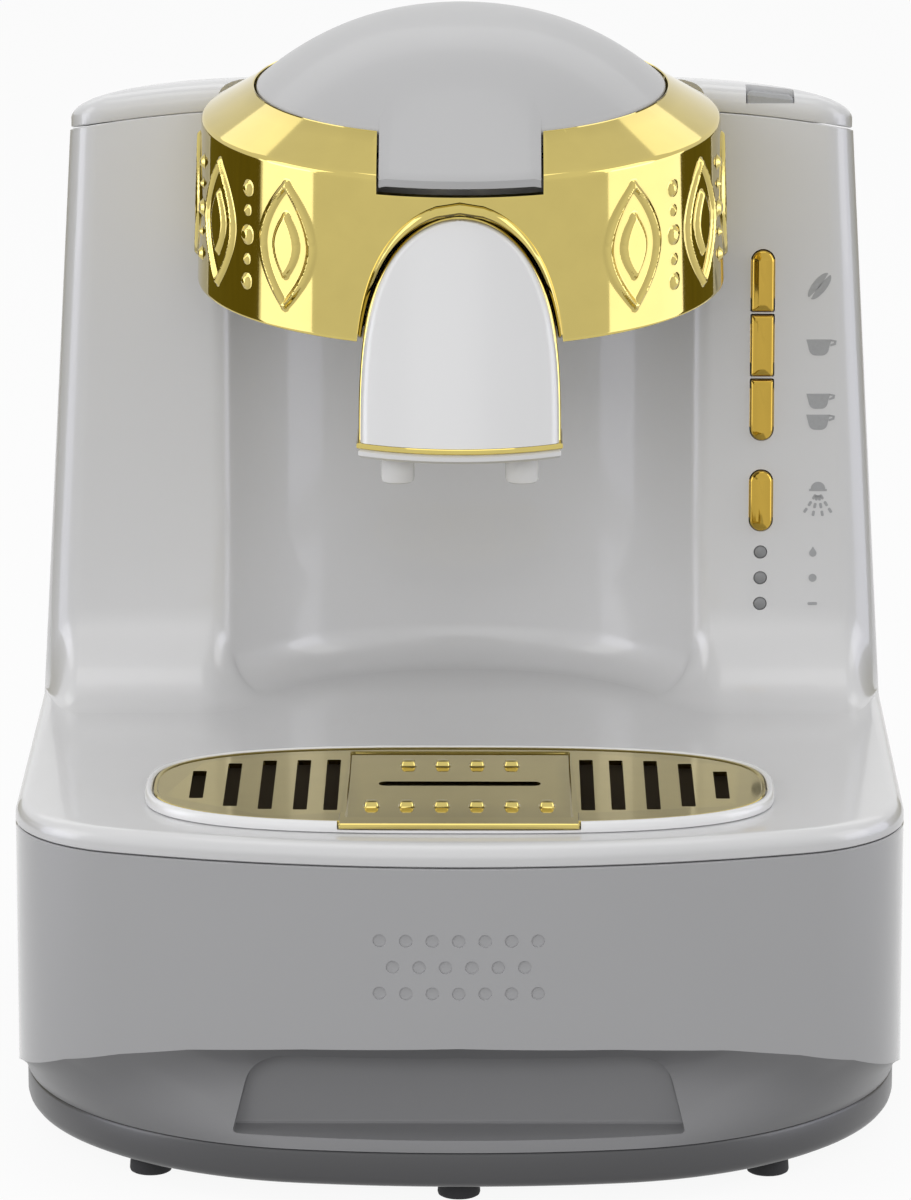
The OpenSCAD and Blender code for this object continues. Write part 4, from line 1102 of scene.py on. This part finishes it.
class COFFEEMAKER_OT_spout(bpy.types.Operator):
    """Builds the leaning spout: gold body, white cover, gold trim line, base plate, two nozzles"""

    bl_idname = "coffee_maker.spout"
    bl_label = "Spout and Nozzles"

    def front(self, x, z, back):
        """How far forward the spout's round front lies at a point of its outline."""
        lean = math.tan(SPOUT_LEAN) * (z - SPOUT_Z)
        r = SPOUT_ROUND - back
        return SPOUT_FRONT + SPOUT_ROUND + lean - math.sqrt(max(r * r - x * x, 0))

    def shield(self, name, half, height, set_back, depth, edge, low=SPOUT_Z):
        """A curved shield whose rim is rounded, as thick as depth."""
        rows, columns = 56, 40
        front, back = [], []
        for k in range(rows + 1):
            t = 1 - (1 - k / rows) ** 1.6
            w, z = half * math.sqrt(max(1 - t**3, 0.0)), low + height * t
            for i in range(columns + 1):
                x = w * -math.cos(math.pi * i / columns)
                inside = edge - min(w - abs(x), edge)
                round_off = edge - math.sqrt(max(edge**2 - inside**2, 0))
                y = self.front(x, z, set_back)
                front.append((x, y + round_off, z))
                back.append((x, min(y + depth, SPOUT_BACK), z))
        count, base = columns + 1, len(front)
        skin = ring_faces(count, rows + 1, closed=False)
        rim = [(k * count + i, (k + 1) * count + i) for k in range(rows) for i in (0, columns)]
        rim += [(k * count + i, k * count + i + 1) for i in range(columns) for k in (0, rows)]
        faces = skin + [tuple(base + v for v in reversed(face)) for face in skin]
        faces += [(a, b, base + b, base + a) for a, b in rim]
        return mesh_object(name, front + back, faces)

    def slab(self, name, low, high, grow, edge):
        """A plate with the spout's plan: round in front, straight at the back."""

        def outline(inset):
            half, r = SPOUT_HALF + grow - inset, SPOUT_ROUND + grow - inset
            middle, back = SPOUT_FRONT + SPOUT_ROUND, SPOUT_BACK - inset - 0.01
            xs = [float(x) for x in np.linspace(-half, half, 49)]
            ends = [(half, back), (-half, back)]
            return [(x, middle - math.sqrt(r * r - x * x)) for x in xs] + ends

        levels = ((edge, low), (0, low + edge), (0, high - edge), (edge, high))
        return lofted(name, stepped(outline, levels))

    def execute(self, context):
        gold, white = finish("gold"), finish("spout")
        body = self.shield("spout_body_plating", SPOUT_HALF, SPOUT_H, 3.0, 60, 0.5)
        hollow = self.shield("hollow", SPOUT_HALF - 1.8, SPOUT_H - 1.8, 4.8, 19, 0.3, SPOUT_Z - 2)
        carve(body, hollow)
        finished(body, "root", gold, ("spout_body",), 36)
        cover = self.shield("spout_cover_moulding", SPOUT_HALF - 0.5, SPOUT_H - 0.5, 0, 2.95, 1.6)
        finished(cover, "root", white, ("spout_cover",), 40)
        trim = self.slab("spout_trim_plating", SPOUT_Z - 1.5, SPOUT_Z - 0.05, 0.45, 0.25)
        carve(trim, prism("well", rounded_box(46, 17, 3, centre=(0, -72.5)), 170, 200))
        finished(trim, "root", gold, ("spout_trim",))
        base = self.slab("spout_base_moulding", SPOUT_Z - 4.0, SPOUT_Z - 1.55, 0, 0.7)
        bore = [(0, 180), (4.35, 180), (4.35, 192), (0, 192)]
        tube = [(2.4, 193), (2.4, 177.6), (2.8, 177.1), (3.6, 177.0), (4.1, 177.3), (4.3, 178.0)]
        tube.append((4.3, 193))
        places = ((-16, -72), (16, -72))
        carve(base, merged("bores", *[turned("bore", bore, 48, place) for place in places]))
        finished(base, "root", white, ("spout_base",))
        tubes = [turned("tube", tube, 48, place, loop=True) for place in places]
        finished(merged("nozzle_tubes", *tubes), "root", white, ("nozzles",))
        return {"FINISHED"}


# ---- drip tray ----


class COFFEEMAKER_OT_drip_tray(bpy.types.Operator):
    """Builds the lift-out drip tray with its rolled rim, basin and front lip"""

    bl_idname = "coffee_maker.drip_tray"
    bl_label = "Drip Tray"

    def execute(self, context):
        inside = [(0.6, 96.02), (0.1, 96.3), (0, 97.2), (0.15, 98.2), (0.6, 98.8), (1.1, 99.0)]
        inside += [(1.6, 98.9), (1.95, 98.5), (2.05, 97.0), (2.8, 96.95), (4.8, 96.6), (4.9, 90)]
        inside += [(5.4, 76), (8, 74.2), (20, 74.0)]
        outside = [(20, 72.0), (6.5, 72.2), (3.2, 74.5), (2.8, 96.0)]
        skin = lofted("skin", stepped(oval, inside[::-1] + outside[::-1]), caps=False)
        floor = lofted("floor", stepped(oval, (inside[-1], outside[0])))
        piece = merged("drip_tray_moulding", skin, floor)
        carve(piece, prism("lip", rounded_box(62, 16, 0.4, centre=(0, -121.5)), 96.95, 110))
        finished(piece, "tray", finish("spout"), ("drip_tray",), 34)
        # The basin's faces take the dark brown, which is painted shade under the grille
        second_finish(piece, finish("basin"), self.basin)
        return {"FINISHED"}

    def basin(self, face):
        """Faces that look inwards, from the basin's floor up to its rim, which take the painted
        shade.
        """
        inwards = (Vector((0, TRAY_Y * MM, 0)) - face.center) * Vector((1, 1, 0))
        return face.normal.dot(inwards) > 0 and 73 < face.center.z / MM < 96.2


class COFFEEMAKER_OT_drip_grille(bpy.types.Operator):
    """Builds the gold grille with its slots, framed middle panel, raised studs and front lip"""

    bl_idname = "coffee_maker.drip_grille"
    bl_label = "Drip Grille"

    def execute(self, context):
        top, half = 98.7, context.scene.coffee_maker_trim.slot_half / MM
        levels = [(2.6, 97.2), (2.3, 97.4), (2.3, top - 0.25), (2.5, top), (3.2, top)]
        levels += [(3.5, top - 0.25), (4.2, top - 0.25)]
        plate = lofted("drip_grille_plating", stepped(oval, levels))

        def lip(inset):
            return rounded_box(61.2 - 2 * inset, 12 - 2 * inset, 0.5, centre=(0, -115.1))

        def panel(inset):
            return rounded_box(57 - inset, 68 - inset, 1.0, centre=(0, TRAY_Y + 0.5))

        def stud(x, y):
            return lambda g: rounded_box(3.6 - 2 * g, 3.6 - 2 * g, 0.7, 4, centre=(x, TRAY_Y + y))

        levels = ((0.2, 97.2), (0, 97.4), (0, top - 0.25), (0.25, top))
        carve(plate, lofted("lip", stepped(lip, levels)), "UNION")
        levels = ((0, top - 0.75), (-1.4, top + 0.1), (-1.4, top + 2))
        carve(plate, lofted("panel", stepped(panel, levels)))
        slots = []
        for s in (-1, 1):
            for x, reach in ((33.0, 26), (40.8, 25.5), (49.8, 25), (58.8, 22), (67.8, 14)):
                slots.append(rounded_box(2 * half, 2 * reach, 0.5, centre=(s * x, TRAY_Y)))
        slots.append(rounded_box(42, 4.5, 2, centre=(0, TRAY_Y + 3.0)))
        carve(plate, prisms("slots", slots, 90, 110))
        levels = [(-0.5, top - 0.8), (0, top - 0.45), (0.1, top + 0.25), (0.35, top + 0.6)]
        levels.append((0.8, top + 0.72))
        places = [(x, -19.9) for x in spaced(6, 9)] + [(x, 22.1) for x in spaced(4, 9)]
        studs = [lofted("stud", stepped(stud(x, y), levels)) for x, y in places]
        plate = merged("drip_grille_plating", plate, *studs)
        finished(plate, "grille", finish("gold"), ("drip_grille",), 34)
        return {"FINISHED"}


# ---- buttons and marks ----


class COFFEEMAKER_OT_buttons(bpy.types.Operator):
    """Builds the four gold push buttons with crowned faces, each on its own slide"""

    bl_idname = "coffee_maker.buttons"
    bl_label = "Push Buttons"

    def execute(self, context):
        crown = context.scene.coffee_maker_trim.button_crown / MM
        levels = [(0, 36.0), (0, 29.4), (0.15, 28.9), (0.5, 28.6), (0.9, 28.5)]
        levels += [(1.5, 28.5 - crown * 0.6), (2.2, 28.5 - crown)]
        for k, name in enumerate(("slow_brew", "one_cup", "two_cups", "clean")):
            z = BUTTON_ZS[k]
            rings = []
            for inset, y in levels:
                outline = button_outline(k, 6 - 2 * inset, 16.7 - 2 * inset, z)
                rings.append([(x, y, h) for x, h in outline])
            flange = rounded_box(8.4, 10.7, 0.5, centre=(BUTTON_X, z))
            flange = prism("flange", flange, 32.8, 33.8, "Y")
            title = "button_" + name
            piece = merged(title + "_plating", lofted("face", rings), flange)
            finished(piece, "key_" + name, finish("button"), (title,), 34)
        return {"FINISHED"}


class COFFEEMAKER_OT_panel_marks(bpy.types.Operator):
    """Builds the printed marks beside the buttons and the three small lights"""

    bl_idname = "coffee_maker.panel_marks"
    bl_label = "Marks and Lights"

    def placed(self, outline, centre, angle=0, size=1.0):
        """An outline turned, scaled and moved to its place on the panel."""
        c, s = unit(angle)
        moved = [(x * c - y * s, x * s + y * c) for x, y in outline]
        return [(centre[0] + x * size, centre[1] + y * size) for x, y in moved]

    def bean(self, centre):
        """A coffee bean: two halves on either side of its curved seam."""
        half = [(a * 1.55 - 0.35, b * 4.2) for a, b in arc((0, 0), 1.0, 90, 270, 14)]
        seam = [(-0.35 + 0.45 * math.sin(math.pi * t), -4.2 + 8.4 * t) for t in (0.25, 0.5, 0.75)]
        return [self.placed(half + seam, centre, angle) for angle in (-38, 142)]

    def cup(self, centre, size):
        """A cup seen from the side, and its handle."""
        right, left = arc((0.6, -0.9), 1.9, -10, -90, 6), arc((-1.0, -0.9), 1.9, -90, -170, 6)
        body = [(-3.6, 1.6), (3.2, 1.6), (2.6, -0.6)] + right + left
        handle = [(3.0, 1.6), (4.6, 1.3), (4.4, 0.2), (2.9, -0.3)]
        handle += [(2.9, 0.3), (3.8, 0.6), (3.9, 1.0), (3.0, 1.1)]
        return [self.placed(part, centre, size=size) for part in (body, handle)]

    def shower(self, centre):
        """A shower head over four rays of three dashes."""
        brim = [(-2.4, 0.6), (-2.4, 0.0), (2.4, 0.0), (2.4, 0.6)]
        parts = [self.placed(arc((0, 0.6), 2.0, 0, 180, 12) + brim, centre)]
        for angle in (-32, -11, 11, 32):
            for step in (0, 1, 2):
                dash = rounded_box(0.75, 1.5, 0.3, 3, centre=(0, -1.9 - 2.2 * step))
                parts.append(self.placed(dash, centre, angle))
        return parts

    def execute(self, context):
        beans, one, two, clean = ((ICON_X, z) for z in BUTTON_ZS)
        shapes = self.bean((beans[0] - 0.2, beans[1] - 1.5)) + self.cup(one, 1.0)
        for rise in (2.9, -2.9):
            shapes += self.cup((two[0], two[1] + rise), 0.95)
        shapes += self.shower((clean[0], clean[1] + 2.6))
        drop = [(0.0, 1.5)] + arc((0, -0.3), 1.0, 30, -210, 12)
        dash = rounded_box(2.6, 0.8, 0.3, 4)
        for outline, z in zip((drop, disc((0, 0), 1.1, 16), dash), LIGHT_ZS):
            shapes.append(self.placed(outline, (ICON_X - 1.2, z)))
        piece = prisms("panel_marks_print", shapes, WALL_Y - 0.12, WALL_Y + 0.3, "Y")
        finished(piece, "root", finish("marks"), ("panel_icons",))
        profile = [(0, 0.35), (0.6, 0.32), (1.2, 0.2), (1.55, 0.0), (1.75, -0.4)]
        profile += [(1.75, -8), (0, -8)]
        forwards = Matrix.Rotation(math.radians(90), 4, "X")
        lights = []
        for z in LIGHT_ZS:
            light = turned("light", profile, 40)
            place = Vector((BUTTON_X, WALL_Y - 0.1, z)) * MM
            light.data.transform(Matrix.Translation(place) @ forwards)
            lights.append(light)
        piece = merged("indicator_lenses", *lights)
        finished(piece, "root", finish("lens"), ("indicator_lights",))
        return {"FINISHED"}


# ---- inner works ----

INNER_FINISHES = {
    "shell": "head_base",
    "lid": "lid_liner",
    "tank": "water_tank",
    "steel": "pan_screws cover_screws brew_pot coffee_pipe water_pump lid_hinge_pin tank_hinge_pin",
    "inner": "chassis_plate pot_heater thermostat spout_manifold tact_switches buzzer tank_seat"
    " foam_sensor tank_valve valve_poppet",
    "board": "button_board power_board",
    "rubber": "pump_damper cord_gland seat_seal",
    "silicone": "inlet_hose outlet_hose lid_seal",
}


class COFFEEMAKER_OT_inner_works(bpy.types.Operator):
    """Finishes the pot, tank, pump, boards, hoses and fasteners, which keep their solids"""

    bl_idname = "coffee_maker.inner_works"
    bl_label = "Inner Works"

    def execute(self, context):
        for name, nodes in INNER_FINISHES.items():
            for node in nodes.split():
                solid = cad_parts[node]
                if not solid.material_slots:
                    solid.data.materials.append(None)
                for place in solid.material_slots:
                    place.material = finish(name)
        return {"FINISHED"}


# ---- stage ----


def seen_directly(tree):
    """1 for camera, glossy and transmission rays, else 0."""
    path = tree.nodes.new("ShaderNodeLightPath")
    total = path.outputs["Is Camera Ray"]
    for name in ("Is Glossy Ray", "Is Transmission Ray"):
        step = add_node(tree, "ShaderNodeMath", operation="ADD", use_clamp=True)
        tree.links.new(total, step.inputs[0])
        tree.links.new(path.outputs[name], step.inputs[1])
        total = step.outputs[0]
    return total


def pale_surface(name, rgba, glow):
    """Seamless studio paper: matt and white. Seen directly, in a mirror or through glass, part of
    it is plain white light, so that it shows as white and still takes the object's shadow."""
    material, tree, _ = blank_material(name)
    tone = drifting(tree, seen_directly(tree), rgba, 0.12, 0.8)
    paper = add_node(tree, "ShaderNodeBsdfDiffuse", {"Color": tone})
    light = add_node(tree, "ShaderNodeEmission", {"Color": rgba, "Strength": 1.0})
    share = spread(tree, seen_directly(tree), 0.0, glow)
    mix = tree.nodes.new("ShaderNodeMixShader")
    for value, socket in zip((share, paper, light), mix.inputs):
        tree.links.new(value.outputs[0], socket)
    return surfaced(material, mix)


def flag_surface(name, rgba):
    """Studio felt on a reflector card, which gives plated metal its dark bands."""
    material, tree, place = blank_material(name)
    tone = drifting(tree, noise(tree, place, 30, 2.0), rgba, 0.8, 1.2)
    light = add_node(tree, "ShaderNodeEmission", {"Color": tone, "Strength": 1.0})
    return surfaced(material, light)


class COFFEEMAKER_OT_stage(bpy.types.Operator):
    """Sets the pale floor, the plain world, the soft lamps, the dark cards and the camera"""

    bl_idname = "coffee_maker.stage"
    bl_label = "Stage and Camera"

    def execute(self, context):
        scene = context.scene
        scene.view_settings.view_transform = "Standard"
        floor = sheet("stage_floor", FLOOR_SIZE, FLOOR_SIZE)
        tone = tuple(scene.coffee_maker_colours.floor)
        floor.data.materials.append(pale_surface("studio_paper", tone, FLOOR_GLOW))
        self.world(scene)
        for lamp in SOFTBOXES:
            self.softbox(*lamp)
        for card in DARK_CARDS:
            self.card(*card)
        self.camera(scene)
        return {"FINISHED"}

    def world(self, scene):
        scene.world = bpy.data.worlds.new("studio")
        scene.world.use_nodes = True
        tree = scene.world.node_tree
        tree.nodes.clear()
        strength = spread(tree, seen_directly(tree), AMBIENT, 1.0)
        sky = add_node(tree, "ShaderNodeBackground", {"Color": (1.0,) * 4, "Strength": strength})
        add_node(tree, "ShaderNodeOutputWorld", {"Surface": sky})

    def aimed(self, thing, place, aim):
        bpy.context.scene.collection.objects.link(thing)
        thing.location = Vector(place) * MM
        thing.rotation_euler = (Vector(aim) - Vector(place)).to_track_quat("-Z", "Y").to_euler()
        return thing

    def softbox(self, name, place, aim, wide, high, power, tone, glossy, diffuse):
        lamp = bpy.data.lights.new(name, "AREA")
        lamp.shape, lamp.size, lamp.size_y = "RECTANGLE", wide * MM, high * MM
        lamp.energy, lamp.color = power, linear_rgb(tone)[:3]
        box = self.aimed(bpy.data.objects.new(name, lamp), place, aim)
        box.visible_glossy, box.visible_diffuse = glossy, diffuse

    def card(self, name, place, aim, wide, high, tone):
        card = sheet(name, wide, high)
        bpy.context.scene.collection.objects.unlink(card)
        self.aimed(card, place, aim)
        card.data.materials.append(flag_surface(name + "_felt", linear_rgb(tone)))
        card.visible_camera = card.visible_diffuse = False
        card.visible_shadow = card.visible_transmission = False

    def camera(self, scene):
        lens = bpy.data.cameras.new("camera")
        lens.sensor_fit, lens.sensor_width, lens.sensor_height, lens.lens = "AUTO", 36, 24, LENS
        lens.clip_start, lens.clip_end = 0.1, 20
        camera = bpy.data.objects.new("camera", lens)
        scene.collection.objects.link(camera)
        camera.location = Vector(CAMERA_PLACE) * MM
        camera.rotation_euler = (math.radians(90) - CAMERA_DOWN, 0, CAMERA_TURN)
        scene.camera = camera


# ---- add-on ----


class COFFEEMAKER_PT_panel(bpy.types.Panel):
    """Lists the pieces, sizes and colours of the coffee maker"""

    bl_idname = "COFFEEMAKER_PT_panel"
    bl_label = "Coffee Maker"
    bl_space_type = "VIEW_3D"
    bl_region_type = "UI"
    bl_category = "Coffee Maker"

    def draw(self, context):
        scene, layout = context.scene, self.layout
        for label, group in (
            ("Body", scene.coffee_maker_body),
            ("Trim", scene.coffee_maker_trim),
            ("Colours", scene.coffee_maker_colours),
        ):
            box = layout.box()
            box.label(text=label)
            for name in group.__annotations__:
                box.prop(group, name)
        box = layout.box()
        box.label(text="Pieces")
        for operator in OPERATORS:
            box.operator(operator.bl_idname)


GROUPS = {
    "coffee_maker_body": CoffeeMakerBodySizes,
    "coffee_maker_trim": CoffeeMakerTrimSizes,
    "coffee_maker_colours": CoffeeMakerColours,
}
OPERATORS = (
    COFFEEMAKER_OT_stage,
    COFFEEMAKER_OT_base_shell,
    COFFEEMAKER_OT_bottom_pan,
    COFFEEMAKER_OT_front_housing,
    COFFEEMAKER_OT_rear_cover,
    COFFEEMAKER_OT_tank_lid,
    COFFEEMAKER_OT_head_band,
    COFFEEMAKER_OT_head_lid,
    COFFEEMAKER_OT_spout,
    COFFEEMAKER_OT_drip_tray,
    COFFEEMAKER_OT_drip_grille,
    COFFEEMAKER_OT_buttons,
    COFFEEMAKER_OT_panel_marks,
    COFFEEMAKER_OT_inner_works,
)


def register():
    for kind in (*GROUPS.values(), *OPERATORS, COFFEEMAKER_PT_panel):
        bpy.utils.register_class(kind)
    for name, group in GROUPS.items():
        setattr(bpy.types.Scene, name, PointerProperty(type=group))


def unregister():
    for name in GROUPS:
        delattr(bpy.types.Scene, name)
    for kind in reversed((*GROUPS.values(), *OPERATORS, COFFEEMAKER_PT_panel)):
        bpy.utils.unregister_class(kind)


def main():
    register()
    for operator in OPERATORS:
        getattr(bpy.ops.coffee_maker, operator.bl_idname.split(".")[1])()


if __name__ == "__main__":
    main()
